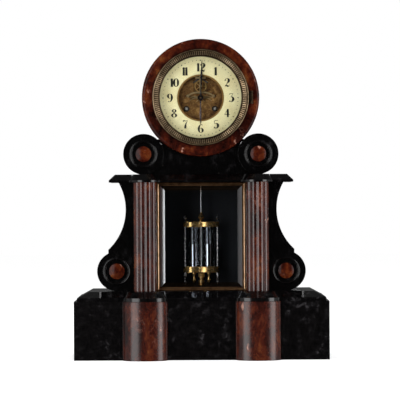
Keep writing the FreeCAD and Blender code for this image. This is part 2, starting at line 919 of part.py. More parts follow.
def make_drum_ring():
    # the front outer edge is rounded over
    r = drum_radius
    curve = drum_ring_round
    corner = curve * (1 - math.sqrt(0.5))
    z = drum_z

    def point(radius, y):
        return FreeCAD.Vector(radius, y, z)

    edges = [
        line(point(drum_ring_bore, shell_front), point(drum_ring_bore, drum_front)),
        line(point(drum_ring_bore, drum_front), point(r - curve, drum_front)),
        arc(point(r - curve, drum_front), point(r - corner, drum_front + corner), point(r, drum_front + curve)),
        line(point(r, drum_front + curve), point(r, shell_front)),
        line(point(r, shell_front), point(drum_ring_bore, shell_front)),
    ]
    return Part.Face(Part.Wire(edges)).revolve(FreeCAD.Vector(0, 0, z), along_y, 360)


def knuckles(x, y, inner_half, outer_half):
    # the two outer knuckles of a hinge, above and below the inner one
    upper = rod_z(hinge_radius, drum_z + inner_half + hinge_gap, drum_z + outer_half, x, y)
    lower = rod_z(hinge_radius, drum_z - outer_half, drum_z - inner_half - hinge_gap, x, y)
    return upper, lower


def hinge_ears(x0, x1, y0, y1):
    upper = box(x0, x1, y0, y1, drum_z + hinge_knuckle_half + hinge_gap, drum_z + hinge_outer_half)
    lower = box(x0, x1, y0, y1, drum_z - hinge_outer_half, drum_z - hinge_knuckle_half - hinge_gap)
    return upper, lower


bezel_hinge_y = drum_front - cement_gap - hinge_radius
cover_hinge_y = portico_back + rear_ring_thickness + hinge_radius


def make_bezel_seat():
    flange_front = drum_front - seat_flange_thickness
    ledge_back = chapter_back + seat_ledge_thickness
    tube = tube_y(seat_radius, seat_radius - seat_wall, flange_front, ledge_back, 0, drum_z)
    flange = tube_y(seat_flange_radius, seat_radius - seat_wall, flange_front, drum_front, 0, drum_z)
    ledge = tube_y(seat_radius, seat_ledge_bore, chapter_back, ledge_back, 0, drum_z)
    pieces = [flange, ledge]
    pieces += knuckles(bezel_hinge_x, bezel_hinge_y, hinge_knuckle_half, hinge_outer_half)
    pieces += hinge_ears(seat_radius, bezel_hinge_x, flange_front, drum_front)
    pieces.append(rod_z(hinge_pin_radius, drum_z - hinge_outer_half, drum_z + hinge_outer_half,
                        bezel_hinge_x, bezel_hinge_y))
    outer = strap_x + strap_thickness
    half = strap_width / 2
    for side in (-1, 1):
        near, far = sorted((side * strap_x, side * outer))
        strap = box(near, far, chapter_back, portico_back, drum_z - half, drum_z + half)
        lug_near, lug_far = sorted((side * (plate_radius - lug_overlap), side * outer))
        lug = box(lug_near, lug_far, plate_front - lug_thickness, plate_front,
                  drum_z - lug_half_height, drum_z + lug_half_height)
        end_near, end_far = sorted((side * strap_x, side * (strap_x + strap_end_size)))
        end = box(end_near, end_far, portico_back - strap_end_depth, portico_back, drum_z - half, drum_z + half)
        pieces += [strap, lug, end]
    seat = joined(tube, *pieces)
    for side in (-1, 1):
        screw_x = side * (strap_x + strap_end_size / 2)
        seat = seat.cut(rod_y(strap_screw_radius + fit_gap, portico_back - strap_screw_length - fit_gap,
                              portico_back + overrun, screw_x, drum_z))
    return seat


def make_bezel():
    back = drum_front - seat_flange_thickness - bezel_gap
    r = bezel_radius
    glass_y = back - bezel_depth + bezel_lip_thickness + bezel_lip_drop
    profile = [
        (r, back),
        (r, back - bezel_bead_height + bezel_bead / 2),
        (r - bezel_bead / 4, back - bezel_bead_height + bezel_bead / 8),
        (r - bezel_bead / 2, back - bezel_bead_height),
        (r - bezel_bead * 3 / 4, back - bezel_bead_height + bezel_bead / 8),
        (r - bezel_bead, back - bezel_valley_height),
        (bezel_bore + bezel_lip, back - bezel_depth),
        (bezel_bore, back - bezel_depth + bezel_lip_drop),
        (bezel_bore, glass_y),
        (bezel_bore + bezel_glass_seat, glass_y),
        (bezel_bore + bezel_glass_seat, back),
    ]
    ring = turned_y(profile, 0, drum_z)
    knuckle = rod_z(hinge_radius, drum_z - hinge_knuckle_half, drum_z + hinge_knuckle_half,
                    bezel_hinge_x, bezel_hinge_y)
    ear = box(bezel_radius - bezel_bead / 2, bezel_hinge_x, bezel_hinge_y - hinge_radius,
              bezel_hinge_y, drum_z - hinge_knuckle_half, drum_z + hinge_knuckle_half)
    bore = rod_z(hinge_pin_radius + fit_gap, drum_z - hinge_outer_half, drum_z + hinge_outer_half,
                 bezel_hinge_x, bezel_hinge_y)
    return joined(ring, knuckle, ear).cut(bore)


def make_bezel_glass():
    back = drum_front - seat_flange_thickness - bezel_gap
    front = back - bezel_depth + bezel_lip_thickness + bezel_lip_drop
    radius = bezel_bore + bezel_glass_seat - cement_gap
    return rod_y(radius, front, front + bezel_glass_thickness, 0, drum_z)


def make_rear_ring():
    y0 = portico_back
    y1 = portico_back + rear_ring_thickness
    ring = tube_y(rear_ring_radius, rear_ring_bore, y0, y1, 0, drum_z)
    pieces = list(knuckles(cover_hinge_x, cover_hinge_y, hinge_knuckle_half, hinge_outer_half))
    pieces += hinge_ears(cover_hinge_x - hinge_pin_radius, cover_hinge_x + hinge_pin_radius, y0, cover_hinge_y)
    pieces.append(rod_z(hinge_pin_radius, drum_z - hinge_outer_half, drum_z + hinge_outer_half,
                        cover_hinge_x, cover_hinge_y))
    ring = joined(ring, *pieces)
    for side in (-1, 1):
        screw_x = side * (strap_x + strap_end_size / 2)
        ring = ring.cut(rod_y(strap_screw_radius + fit_gap, y0 - overrun, y1 + overrun, screw_x, drum_z))
    return ring


def make_rear_cover():
    y0 = portico_back + rear_ring_thickness + bezel_gap
    y1 = y0 + cover_thickness
    disc = rod_y(cover_radius, y0, y1, 0, drum_z)
    knuckle = rod_z(hinge_radius, drum_z - hinge_knuckle_half, drum_z + hinge_knuckle_half,
                    cover_hinge_x, cover_hinge_y)
    clear = box(cover_hinge_x - hinge_radius, cover_hinge_x + hinge_radius, portico_back, y0,
                drum_z - hinge_outer_half, drum_z + hinge_outer_half)
    ear = box(cover_radius - overrun, cover_hinge_x, y0, cover_hinge_y,
              drum_z - hinge_knuckle_half, drum_z + hinge_knuckle_half)
    bore = rod_z(hinge_pin_radius + fit_gap, drum_z - hinge_outer_half, drum_z + hinge_outer_half,
                 cover_hinge_x, cover_hinge_y)
    knob = rod_y(cover_knob_radius, y0, y1 + cover_knob_length, -cover_knob_x, drum_z)
    return joined(disc, knuckle, ear, knob).cut(bore).cut(clear)


def make_strap_screws():
    screws = []
    head_y = portico_back + rear_ring_thickness
    head_top = head_y + strap_screw_head
    for side in (-1, 1):
        x = side * (strap_x + strap_end_size / 2)
        shank = rod_y(strap_screw_radius, portico_back - strap_screw_length, head_top, x, drum_z)
        head = rod_y(strap_screw_head_radius, head_y, head_top, x, drum_z)
        screws.append(joined(shank, head))
    return Part.makeCompound(screws)


# Dial and hands

def make_chapter_ring():
    outer = seat_radius - seat_wall - cement_gap
    inner = recess_rim_radius + cement_gap
    return tube_y(outer, inner, chapter_back - chapter_thickness, chapter_back, 0, drum_z)


def make_dial_centre():
    rim_front = chapter_back - chapter_thickness - recess_rim_proud
    rim_bore = recess_rim_radius - recess_rim_width
    plate = rod_y(recess_rim_radius, recess_plate_front, recess_plate_back, 0, drum_z)
    rim = tube_y(recess_rim_radius, rim_bore, rim_front, recess_plate_back, 0, drum_z)
    feet = []
    for degrees in dial_foot_angles:
        x, z = on_circle(dial_foot_circle, degrees)
        feet.append(rod_y(dial_foot_radius, recess_plate_front, plate_front, x, drum_z + z))
    body = joined(plate, rim, *feet)
    holes = [
        (hour_pipe_radius + arbor_clearance, centre_place),
        (winding_hole_radius, going_place),
        (winding_hole_radius, strike_place),
        (fine_arbor_radius + arbor_clearance, escape_place),
        (arbor_radius + arbor_clearance, anchor_place),
    ]
    for radius, (x, z) in holes:
        body = body.cut(rod_y(radius, recess_plate_front - overrun, recess_plate_back + overrun, x, z))
    return body


def hand_blade(length, boss, degrees, y, thickness):
    # a slender leaf, and a short tail behind the boss; degrees run clockwise from 12
    belly = length * hand_belly_share
    outline = [
        (-hand_root_width / 2, boss / 2),
        (-hand_belly_width / 2, belly),
        (-hand_tip_width / 2, length),
        (hand_tip_width / 2, length),
        (hand_belly_width / 2, belly),
        (hand_root_width / 2, boss / 2),
    ]
    blade = plate_xz([(x, z + drum_z) for x, z in outline], y, y + thickness)
    blade.rotate(FreeCAD.Vector(0, 0, drum_z), along_y, degrees)
    return blade


def make_hour_hand():
    y = plate_front - hour_hand_plane
    boss = rod_y(hour_boss_radius, y, y + hand_boss_thickness, 0, drum_z)
    blade = hand_blade(hour_hand_length, hour_boss_radius, hour_hand_angle, y, hand_thickness)
    return joined(boss, blade).cut(rod_y(hour_pipe_radius + fit_gap, y - overrun, y + overrun, 0, drum_z))


def make_minute_hand():
    y = plate_front - minute_hand_plane
    boss = rod_y(minute_boss_radius, y, y + hand_boss_thickness, 0, drum_z)
    blade = hand_blade(minute_hand_length, minute_boss_radius, minute_hand_angle, y, hand_thickness)
    tail = bar((0, drum_z), (0, drum_z - hand_tail_length), hand_root_width, y, y + hand_thickness)
    tail.rotate(FreeCAD.Vector(0, 0, drum_z), along_y, minute_hand_angle)
    bore = rod_y(cannon_pipe_radius + fit_gap, y - overrun, y + overrun, 0, drum_z)
    return joined(boss, blade, tail).cut(bore)


def make_hand_collet():
    # a domed washer on the centre arbor, in front of the minute hand
    back = plate_front - minute_hand_plane
    front = back - hand_collet_thickness
    profile = [
        (arbor_radius + fit_gap, back),
        (hand_collet_radius, back),
        (hand_collet_radius, back - hand_collet_thickness / 2),
        (hand_collet_radius * 2 / 3, front),
        (arbor_radius + fit_gap, front),
    ]
    return turned_y(profile, 0, drum_z)


# Movement plates

def plate_holes(extra):
    # (radius, place) of the pivot holes that both plates have
    holes = [
        (arbor_radius + fit_gap, centre_place),
        (arbor_radius + fit_gap, intermediate_place),
        (fine_arbor_radius + fit_gap, third_place),
        (winding_arbor_radius + fit_gap, going_place),
        (winding_arbor_radius + fit_gap, strike_place),
        (hammer_arbor_radius + fit_gap, hammer_place),
    ]
    return holes + extra


def drilled(body, holes, y0, y1):
    for radius, (x, z) in holes:
        body = body.cut(rod_y(radius, y0 - overrun, y1 + overrun, x, z))
    return body


def make_front_plate():
    # the pillars and the minute wheel's stud are riveted into this plate
    plate = rod_y(plate_radius, plate_front, plate_back, 0, drum_z)
    pieces = []
    for degrees in pillar_angles:
        x, z = on_circle(pillar_circle, degrees)
        pieces.append(rod_y(pillar_radius, plate_back, rear_plate_front, x, drum_z + z))
    stud_x, stud_z = minute_wheel_place
    pieces.append(rod_y(minute_stud_radius, plate_front - minute_stud_length, plate_back, stud_x, stud_z))
    holes = plate_holes([
        (fine_arbor_radius + arbor_clearance, escape_place),
        (arbor_radius + arbor_clearance, anchor_place),
    ])
    return drilled(joined(plate, *pieces), holes, plate_front, plate_back)


def make_back_plate():
    # the bell post is riveted into this plate
    plate = rod_y(plate_radius, rear_plate_front, rear_plate_back, 0, drum_z)
    bell_x0, bell_z0 = bell_place
    crown = rear_plate_back + bell_front + bell_height - bell_wall
    post = rod_y(bell_post_radius, rear_plate_back, crown, bell_x0, bell_z0)
    tip = rod_y(bell_post_tip_radius, crown, crown + bell_post_tip_length, bell_x0, bell_z0)
    holes = plate_holes([
        (fine_arbor_radius + fit_gap, escape_place),
        (arbor_radius + fit_gap, anchor_place),
    ])
    return joined(drilled(plate, holes, rear_plate_front, rear_plate_back), post, tip)


# Barrels and their winding arbors

def hollow_drum(y0, y1, place):
    x, z = place
    outside = rod_y(barrel_drum_radius, y0, y1, x, z)
    inside = rod_y(barrel_drum_radius - barrel_wall, y0 + barrel_wall, y1 - barrel_wall, x, z)
    return outside.cut(inside)


def make_barrel(place, module, wheel_at_back, phase):
    x, z = place
    front = plate_back + barrel_front
    back = front + barrel_length
    if wheel_at_back:
        y0 = back - barrel_wheel_thickness
    else:
        y0 = front
    wheel = toothed_disc(wheel_points(barrel_teeth, module, phase), y0, y0 + barrel_wheel_thickness, x, z)
    wheel = wheel.cut(rod_y(barrel_drum_radius - barrel_wall, y0 + barrel_wall,
                            y0 + barrel_wheel_thickness - barrel_wall, x, z))
    body = joined(hollow_drum(front, back, place), wheel)
    return body.cut(rod_y(winding_arbor_radius + fit_gap, front - overrun, back + overrun, x, z))


def make_winding_arbor(place):
    x, z = place
    shoulder = plate_front - winding_shoulder
    half = winding_square / 2
    shaft = rod_y(winding_arbor_radius, shoulder, rear_plate_back, x, z)
    square = box(x - half, x + half, shoulder - winding_square_length, shoulder, z - half, z + half)
    return joined(shaft, square)


# Wheels of the going train

def make_intermediate_wheel():
    x, z = intermediate_place
    arbor = rod_y(arbor_radius, plate_front, rear_plate_back, x, z)
    pinion_y = plate_back + intermediate_pinion_front
    leaves = pinion_points(intermediate_pinion_leaves, barrel_module, intermediate_pinion_phase)
    pinion = toothed_disc(leaves, pinion_y, pinion_y + intermediate_pinion_length, x, z)
    wheel_y = rear_plate_front - intermediate_wheel_back
    wheel = crossed_wheel(intermediate_teeth, intermediate_module, intermediate_phase,
                          wheel_y, wheel_y + wheel_thickness, x, z)
    return joined(arbor, pinion, wheel)


def make_centre_wheel():
    x, z = centre_place
    arbor_front = plate_front - minute_hand_plane - hand_collet_thickness
    arbor = rod_y(arbor_radius, arbor_front, rear_plate_back, x, z)
    pinion_y = rear_plate_front - centre_pinion_back
    leaves = pinion_points(centre_pinion_leaves, intermediate_module, centre_pinion_phase)
    pinion = toothed_disc(leaves, pinion_y, pinion_y + centre_pinion_length, x, z)
    wheel_y = rear_plate_front - centre_wheel_back
    wheel = crossed_wheel(centre_teeth, centre_module, centre_phase, wheel_y, wheel_y + wheel_thickness, x, z)
    return joined(arbor, pinion, wheel)


def make_third_wheel():
    x, z = third_place
    arbor = rod_y(fine_arbor_radius, plate_front, rear_plate_back, x, z)
    pinion_y = rear_plate_front - third_pinion_back
    leaves = pinion_points(third_pinion_leaves, centre_module, third_pinion_phase)
    pinion = toothed_disc(leaves, pinion_y, pinion_y + third_pinion_length, x, z)
    wheel_y = rear_plate_front - third_wheel_back
    wheel = crossed_wheel(third_teeth, third_module, third_phase, wheel_y, wheel_y + wheel_thickness, x, z)
    return joined(arbor, pinion, wheel)


def make_escape_wheel():
    # slender pointed teeth that lean the way the wheel turns
    x, z = escape_place
    bridge_back = plate_front - bridge_plane + bridge_thickness
    arbor = rod_y(fine_arbor_radius, bridge_back - bridge_thickness, rear_plate_back, x, z)
    pinion_y = rear_plate_front - escape_pinion_back
    leaves = pinion_points(escape_pinion_leaves, third_module, escape_pinion_phase)
    pinion = toothed_disc(leaves, pinion_y, pinion_y + escape_pinion_length, x, z)
    pitch = 2 * math.pi / escape_teeth
    root = escape_tip_radius - escape_tooth_height
    points = []
    for k in range(escape_teeth):
        start = k * pitch
        lean = start + pitch * escape_lean_share
        points.append((root * math.cos(start), root * math.sin(start)))
        points.append((escape_tip_radius * math.cos(start), escape_tip_radius * math.sin(start)))
        points.append((root * math.cos(lean), root * math.sin(lean)))
    windows = []
    wheel_y = plate_front - escape_wheel_plane
    for k in range(spoke_count):
        windows.append(window_wire(fine_arbor_radius + escape_spoke_width, root - escape_rim_width,
                                   escape_spoke_width, k, spoke_count, x, wheel_y, z))
    wheel = toothed_disc(points, wheel_y, wheel_y + escape_wheel_thickness, x, z, windows)
    return joined(arbor, pinion, wheel)


# Motion work

def make_cannon_pinion():
    front = plate_front - minute_hand_plane
    pipe = rod_y(cannon_pipe_radius, front, plate_front - cannon_front, 0, drum_z)
    y1 = plate_front - cannon_tooth_start
    leaves = toothed_disc(pinion_points(cannon_leaves, cannon_module, cannon_phase),
                          y1 - cannon_tooth_length, y1, 0, drum_z)
    bore = rod_y(arbor_radius + fit_gap, front - overrun, plate_front, 0, drum_z)
    return joined(pipe, leaves).cut(bore)


def make_minute_wheel():
    x, z = minute_wheel_place
    y1 = plate_front - minute_wheel_start
    y0 = y1 - minute_wheel_thickness
    wheel = toothed_disc(wheel_points(minute_wheel_teeth, cannon_module, minute_wheel_phase), y0, y1, x, z)
    pinion = toothed_disc(pinion_points(minute_pinion_leaves, hour_module, minute_pinion_phase),
                          plate_front - minute_pinion_end, y0, x, z)
    bore = rod_y(minute_stud_radius + fit_gap, plate_front - minute_pinion_end - overrun, y1 + overrun, x, z)
    return joined(wheel, pinion).cut(bore)


def make_hour_wheel():
    y1 = plate_front - hour_wheel_start
    front = plate_front - hour_hand_plane
    wheel = toothed_disc(wheel_points(hour_wheel_teeth, hour_module, hour_wheel_phase),
                         y1 - hour_wheel_thickness, y1, 0, drum_z)
    pipe = rod_y(hour_pipe_radius, front, y1, 0, drum_z)
    bore = rod_y(cannon_pipe_radius + fit_gap, front - overrun, y1 + overrun, 0, drum_z)
    return joined(pipe, wheel).cut(bore)


# Escapement

def make_anchor():
    # the arms span the wheel; each ends in a half-round pallet, drawn round here
    x, z = anchor_place
    y0 = plate_front - anchor_plane
    y1 = y0 + anchor_thickness
    reach = escape_tip_radius + pallet_radius + pallet_clearance
    arbor_front = plate_front - bridge_plane
    arbor = rod_y(arbor_radius, arbor_front, crutch_back, x, z)
    pieces = [rod_y(anchor_hub_radius, y0, y1, x, z)]
    pallet_back = plate_front - escape_wheel_plane + escape_wheel_thickness
    for side in (-1, 1):
        across, up = on_circle(reach, 90 - side * pallet_angle)
        place = (across, escape_z + up)
        pieces.append(bar((x, z), place, anchor_arm_width, y0, y1))
        pieces.append(rod_y(anchor_arm_width / 2, y0, y1, *place))
        pieces.append(rod_y(pallet_radius, y0, pallet_back, *place))
    return joined(arbor, *pieces)


def make_escape_bridge():
    # an arch over the hands' pipe, a stem with both front pivots, and a short head at the top
    y0 = plate_front - bridge_plane
    y1 = y0 + bridge_thickness
    arch_z = drum_z + bridge_arch_rise
    half = bridge_arm_width / 2
    foot_z = drum_z + bridge_foot_rise
    pieces = []
    for side in (-1, 1):
        foot_x = side * bridge_foot_x
        quarter_x = foot_x / 2
        quarter_z = (arch_z + foot_z) / 2 + bridge_arm_belly
        upper = arc(FreeCAD.Vector(0, y0, arch_z + half), FreeCAD.Vector(quarter_x, y0, quarter_z + half),
                    FreeCAD.Vector(foot_x, y0, foot_z + half))
        lower = arc(FreeCAD.Vector(foot_x, y0, foot_z - half), FreeCAD.Vector(quarter_x, y0, quarter_z - half),
                    FreeCAD.Vector(0, y0, arch_z - half))
        start = line(FreeCAD.Vector(0, y0, arch_z - half), FreeCAD.Vector(0, y0, arch_z + half))
        end = line(FreeCAD.Vector(foot_x, y0, foot_z + half), FreeCAD.Vector(foot_x, y0, foot_z - half))
        pieces.append(Part.Face(Part.Wire([start, upper, end, lower])).extrude(along_y * bridge_thickness))
        pieces.append(rod_y(bridge_foot_radius, y0, recess_plate_front, foot_x, foot_z))
        pieces.append(rod_y(bridge_head_foot_radius, y0, recess_plate_front,
                            side * bridge_head_x, drum_z + bridge_head_rise))
    pieces.append(bar((-bridge_head_x, drum_z + bridge_head_rise), (bridge_head_x, drum_z + bridge_head_rise),
                      bridge_arm_width, y0, y1))
    pieces.append(rod_y(bridge_pivot_radius, y0, y1, *escape_place))
    pieces.append(rod_y(bridge_pivot_radius, y0, y1, *anchor_place))
    stem = bar((0, arch_z), anchor_place, bridge_stem_width, y0, y1)
    holes = [(fine_arbor_radius + fit_gap, escape_place), (arbor_radius + fit_gap, anchor_place)]
    return drilled(joined(stem, *pieces), holes, y0, y1)


# Crutch, suspension and pendulum

def make_crutch():
    # a collar on the anchor's arbor, an arm, and two prongs on either side of the pendulum rod
    x, z = anchor_place
    y0 = rear_plate_back + crutch_back_gap
    y1 = y0 + crutch_thickness
    foot_z = z - crutch_drop
    collar = rod_y(crutch_collar_radius, y0, y1, x, z)
    arm = bar((x, z), (x, foot_z), crutch_arm_width, y0, y1)
    prong_x = rod_radius + cement_gap
    prong_end = pendulum_y + crutch_prong_reach
    spread = prong_x + crutch_prong_width
    yoke = box(-spread, spread, y0, y1, foot_z, foot_z + crutch_prong_height)
    right = box(prong_x, spread, y0, prong_end, foot_z, foot_z + crutch_prong_height)
    left = box(-spread, -prong_x, y0, prong_end, foot_z, foot_z + crutch_prong_height)
    bore = rod_y(arbor_radius, y0 - overrun, y1 + overrun, x, z)
    return joined(collar, arm, yoke, left, right).cut(bore)


def cheek_span():
    # the two cheeks of the suspension cock, in front of and behind the spring's block
    front = rear_plate_back + cock_cheek_front
    inner = front + cock_cheek_thickness
    outer = inner + cock_cheek_gap
    return front, inner, outer, outer + cock_cheek_thickness


def make_suspension_cock():
    front, inner, outer, back = cheek_span()
    half = cock_width / 2
    foot_bottom = anchor_z + cock_foot_rise
    foot_top = foot_bottom + cock_foot_height
    foot = box(-half, half, rear_plate_back, rear_plate_back + cock_foot_thickness, foot_bottom, foot_top)
    bridge = box(-half, half, rear_plate_back, back, foot_top - cock_bridge_height, foot_top)
    cheek_half = cock_cheek_width / 2
    cheek_bottom = anchor_z - cock_cheek_drop
    near = box(-cheek_half, cheek_half, front, inner, cheek_bottom, foot_top)
    far = box(-cheek_half, cheek_half, outer, back, cheek_bottom, foot_top)
    hole = rod_y(suspension_pin_radius + fit_gap, rear_plate_back + cock_foot_thickness, back + overrun,
                 0, anchor_z)
    return joined(foot, bridge, near, far).cut(hole)


def make_suspension_spring():
    # pin, upper block, thin strip and lower block; the whole turns about the pin
    front, inner, outer, back = cheek_span()
    half = suspension_block_width / 2
    depth = suspension_block_depth / 2
    block_top = anchor_z + suspension_block_height / 2
    block_bottom = anchor_z - suspension_block_height / 2
    strip_bottom = block_bottom - suspension_strip_length
    strip_half = suspension_strip_thickness / 2
    pin = rod_y(suspension_pin_radius, front, back, 0, anchor_z)
    block = box(-half, half, pendulum_y - depth, pendulum_y + depth, block_bottom, block_top)
    strip = box(-strip_half, strip_half, pendulum_y - depth, pendulum_y + depth, strip_bottom, block_bottom)
    foot = box(-half, half, pendulum_y - depth, pendulum_y + depth,
               strip_bottom - suspension_foot_height, strip_bottom)
    return joined(pin, block, strip, foot)


def make_pendulum_rod():
    # a plain rod with one knop just above the bob
    top = anchor_z - suspension_block_height / 2 - suspension_strip_length - suspension_foot_height
    bottom = nut_bottom + nut_floor
    knop_bottom = upper_band_bottom + upper_band_height
    middle = knop_bottom + rod_knop_height / 2
    profile = [
        (0, bottom),
        (rod_radius, bottom),
        (rod_radius, knop_bottom),
        (rod_knop_radius * 3 / 4, knop_bottom),
        (rod_knop_radius * 3 / 4, knop_bottom + rod_knop_neck / 2),
        (rod_knop_neck, knop_bottom + rod_knop_neck),
        (rod_knop_radius * 3 / 4, middle - rod_knop_neck),
        (rod_knop_radius, middle),
        (rod_knop_radius * 3 / 4, middle + rod_knop_neck),
        (rod_knop_neck, knop_bottom + rod_knop_height - rod_knop_neck / 2),
        (rod_radius, knop_bottom + rod_knop_height),
        (rod_radius, top),
        (0, top),
    ]
    return turned_z(profile, 0, pendulum_y)


def band(bottom, height):
    # a flat bar with round ends that carries the vials and the columns
    radius = bob_depth / 2
    straight = bob_half_width - radius
    body = box(-straight, straight, pendulum_y - radius, pendulum_y + radius, bottom, bottom + height)
    ends = [rod_z(radius, bottom, bottom + height, side * straight, pendulum_y) for side in (-1, 1)]
    return joined(body, *ends)


def make_bob_top_band():
    body = band(upper_band_bottom, upper_band_height)
    top = upper_band_bottom + upper_band_height
    screw = rod_y(band_screw_radius, pendulum_y - bob_depth / 2 - band_screw_rise, pendulum_y - bob_depth / 4,
                  0, upper_band_bottom + upper_band_height / 2)
    body = joined(body, screw)
    body = body.cut(rod_z(rod_radius + fit_gap, upper_band_bottom - overrun, top + overrun, 0, pendulum_y))
    for side in (-1, 1):
        body = body.cut(rod_z(vial_radius + cement_gap, upper_band_bottom - overrun, top - vial_socket_roof,
                              side * vial_x, pendulum_y))
        body = body.cut(rod_z(column_radius + fit_gap, upper_band_bottom - overrun, top + overrun,
                              side * column_x, pendulum_y))
    return body


def make_bob_cradle():
    # lower band, two turned columns and the finials under the vials, screwed up as one frame
    body = band(lower_band_bottom, lower_band_height)
    top = lower_band_bottom + lower_band_height
    for side in (-1, 1):
        body = body.cut(rod_z(vial_radius + cement_gap, lower_band_bottom + vial_socket_floor, top + overrun,
                              side * vial_x, pendulum_y))
    body = body.cut(rod_z(rod_radius + fit_gap, lower_band_bottom - overrun, top + overrun, 0, pendulum_y))
    under = lower_band_bottom - column_bottom
    over = column_top - upper_band_bottom - upper_band_height
    band_top = upper_band_bottom + upper_band_height
    column = [
        (0, column_bottom),
        (column_radius, column_bottom + under / 8),
        (column_bead_radius, column_bottom + under / 4),
        (column_radius, column_bottom + under * 3 / 8),
        (column_bead_radius, column_bottom + under * 3 / 4),
        (column_bead_radius, lower_band_bottom),
        (column_radius, lower_band_bottom),
        (column_radius, band_top),
        (column_bead_radius, band_top + over / 8),
        (column_radius, band_top + over / 4),
        (column_bead_radius, band_top + over / 2),
        (column_radius, band_top + over * 3 / 4),
        (0, column_top),
    ]
    drop = lower_band_bottom - vial_finial_bottom
    finial = [
        (0, vial_finial_bottom),
        (vial_finial_radius / 2, vial_finial_bottom + drop / 8),
        (vial_finial_radius, vial_finial_bottom + drop / 3),
        (vial_finial_radius / 2, vial_finial_bottom + drop * 2 / 3),
        (vial_finial_radius, lower_band_bottom - drop / 8),
        (vial_finial_radius, lower_band_bottom + vial_socket_floor / 2),
        (0, lower_band_bottom + vial_socket_floor / 2),
    ]
    pieces = []
    for side in (-1, 1):
        pieces.append(turned_z(column, side * column_x, pendulum_y))
        pieces.append(turned_z(finial, side * vial_x, pendulum_y))
    return joined(body, *pieces)


def make_vial(side):
    bottom = lower_band_bottom + vial_socket_floor
    top = upper_band_bottom + upper_band_height - vial_socket_roof - vial_end_gap
    x = side * vial_x
    outside = rod_z(vial_radius, bottom, top, x, pendulum_y)
    return outside.cut(rod_z(vial_radius - vial_wall, bottom + vial_wall, top + overrun, x, pendulum_y))


def make_mercury():
    bottom = lower_band_bottom + vial_socket_floor + vial_wall
    radius = vial_radius - vial_wall - mercury_gap
    fills = [rod_z(radius, bottom, mercury_level, side * vial_x, pendulum_y) for side in (-1, 1)]
    return Part.makeCompound(fills)


def make_rating_nut():
    top = lower_band_bottom - nut_top_gap
    upper = top - nut_upper_height
    neck = upper - nut_neck_height
    ease = nut_neck_height / 2
    profile = [
        (0, nut_bottom),
        (nut_neck_radius, nut_bottom),
        (nut_radius, nut_bottom + ease),
        (nut_radius, neck - ease),
        (nut_neck_radius, neck),
        (nut_neck_radius, upper),
        (nut_radius, upper + ease),
        (nut_radius, top - ease),
        (nut_neck_radius, top),
        (0, top),
    ]
    body = turned_z(profile, 0, pendulum_y)
    return body.cut(rod_z(rod_radius + fit_gap, nut_bottom + nut_floor - fit_gap, top + overrun, 0, pendulum_y))


# Strike

def make_bell():
    # a shallow bowl, open towards the back plate
    x, z = bell_place
    rim = rear_plate_back + bell_front
    crown = rim + bell_height
    outer_sphere = (bell_radius ** 2 + bell_height ** 2) / (2 * bell_height)
    inner_radius = bell_radius - bell_wall
    inner_height = bell_height - bell_wall
    inner_sphere = (inner_radius ** 2 + inner_height ** 2) / (2 * inner_height)

    def on_bowl(radius, sphere, top):
        return FreeCAD.Vector(x + radius, top - sphere + math.sqrt(sphere ** 2 - radius ** 2), z)

    outer_top = FreeCAD.Vector(x, crown, z)
    outer_rim = FreeCAD.Vector(x + bell_radius, rim, z)
    inner_rim = FreeCAD.Vector(x + inner_radius, rim, z)
    inner_top = FreeCAD.Vector(x, crown - bell_wall, z)
    edges = [
        arc(outer_top, on_bowl(bell_radius / 2, outer_sphere, crown), outer_rim),
        line(outer_rim, inner_rim),
        arc(inner_rim, on_bowl(inner_radius / 2, inner_sphere, crown - bell_wall), inner_top),
        line(inner_top, outer_top),
    ]
    bowl = Part.Face(Part.Wire(edges)).revolve(FreeCAD.Vector(x, 0, z), along_y, 360)
    flat = rod_y(bell_crown_radius, crown - bell_wall, crown, x, z)
    hole = rod_y(bell_post_tip_radius + fit_gap, rim, crown + overrun, x, z)
    seat = rod_y(bell_crown_radius, rim, crown - bell_wall, x, z)
    return joined(bowl, flat).cut(seat).cut(hole)


def make_hammer():
    x, z = hammer_place
    y1 = rear_plate_back + hammer_arm_back + hammer_arm_thickness
    y0 = y1 - hammer_arm_thickness
    reach = bell_radius + hammer_head_radius + hammer_gap
    across, up = on_circle(reach, hammer_head_angle)
    head_place = (bell_place[0] + across, bell_place[1] + up)
    arbor = rod_y(hammer_arbor_radius, plate_front, y1, x, z)
    arm = bar(hammer_place, head_place, hammer_arm_width, y0, y1)
    head = rod_y(hammer_head_radius, y0, y0 + hammer_head_length, *head_place)
    return joined(arbor, arm, head)


# Gear phases: each gear is set in mesh with the one before it

cannon_pipe_radius = arbor_radius + fit_gap + cannon_bore_wall
hour_pipe_radius = cannon_pipe_radius + fit_gap + hour_pipe_wall
crutch_back = rear_plate_back + crutch_back_gap + crutch_thickness
centre_phase = 0
third_pinion_phase = meshed_phase(centre_phase, centre_teeth, third_pinion_leaves, centre_place, third_place)
third_phase = third_pinion_phase
escape_pinion_phase = meshed_phase(third_phase, third_teeth, escape_pinion_leaves, third_place, escape_place)
centre_pinion_phase = centre_phase
intermediate_phase = meshed_phase(centre_pinion_phase, centre_pinion_leaves, intermediate_teeth,
                                  centre_place, intermediate_place)
intermediate_pinion_phase = intermediate_phase
barrel_phase = meshed_phase(intermediate_pinion_phase, intermediate_pinion_leaves, barrel_teeth,
                            intermediate_place, going_place)
cannon_phase = centre_phase
minute_wheel_phase = meshed_phase(cannon_phase, cannon_leaves, minute_wheel_teeth,
                                  centre_place, minute_wheel_place)
minute_pinion_phase = minute_wheel_phase
hour_wheel_phase = meshed_phase(minute_pinion_phase, minute_pinion_leaves, hour_wheel_teeth,
                                minute_wheel_place, centre_place)


# Every node, and what makes it

console_right = make_console()
boss_right = make_dome(scroll_x, scroll_z, portico_front)

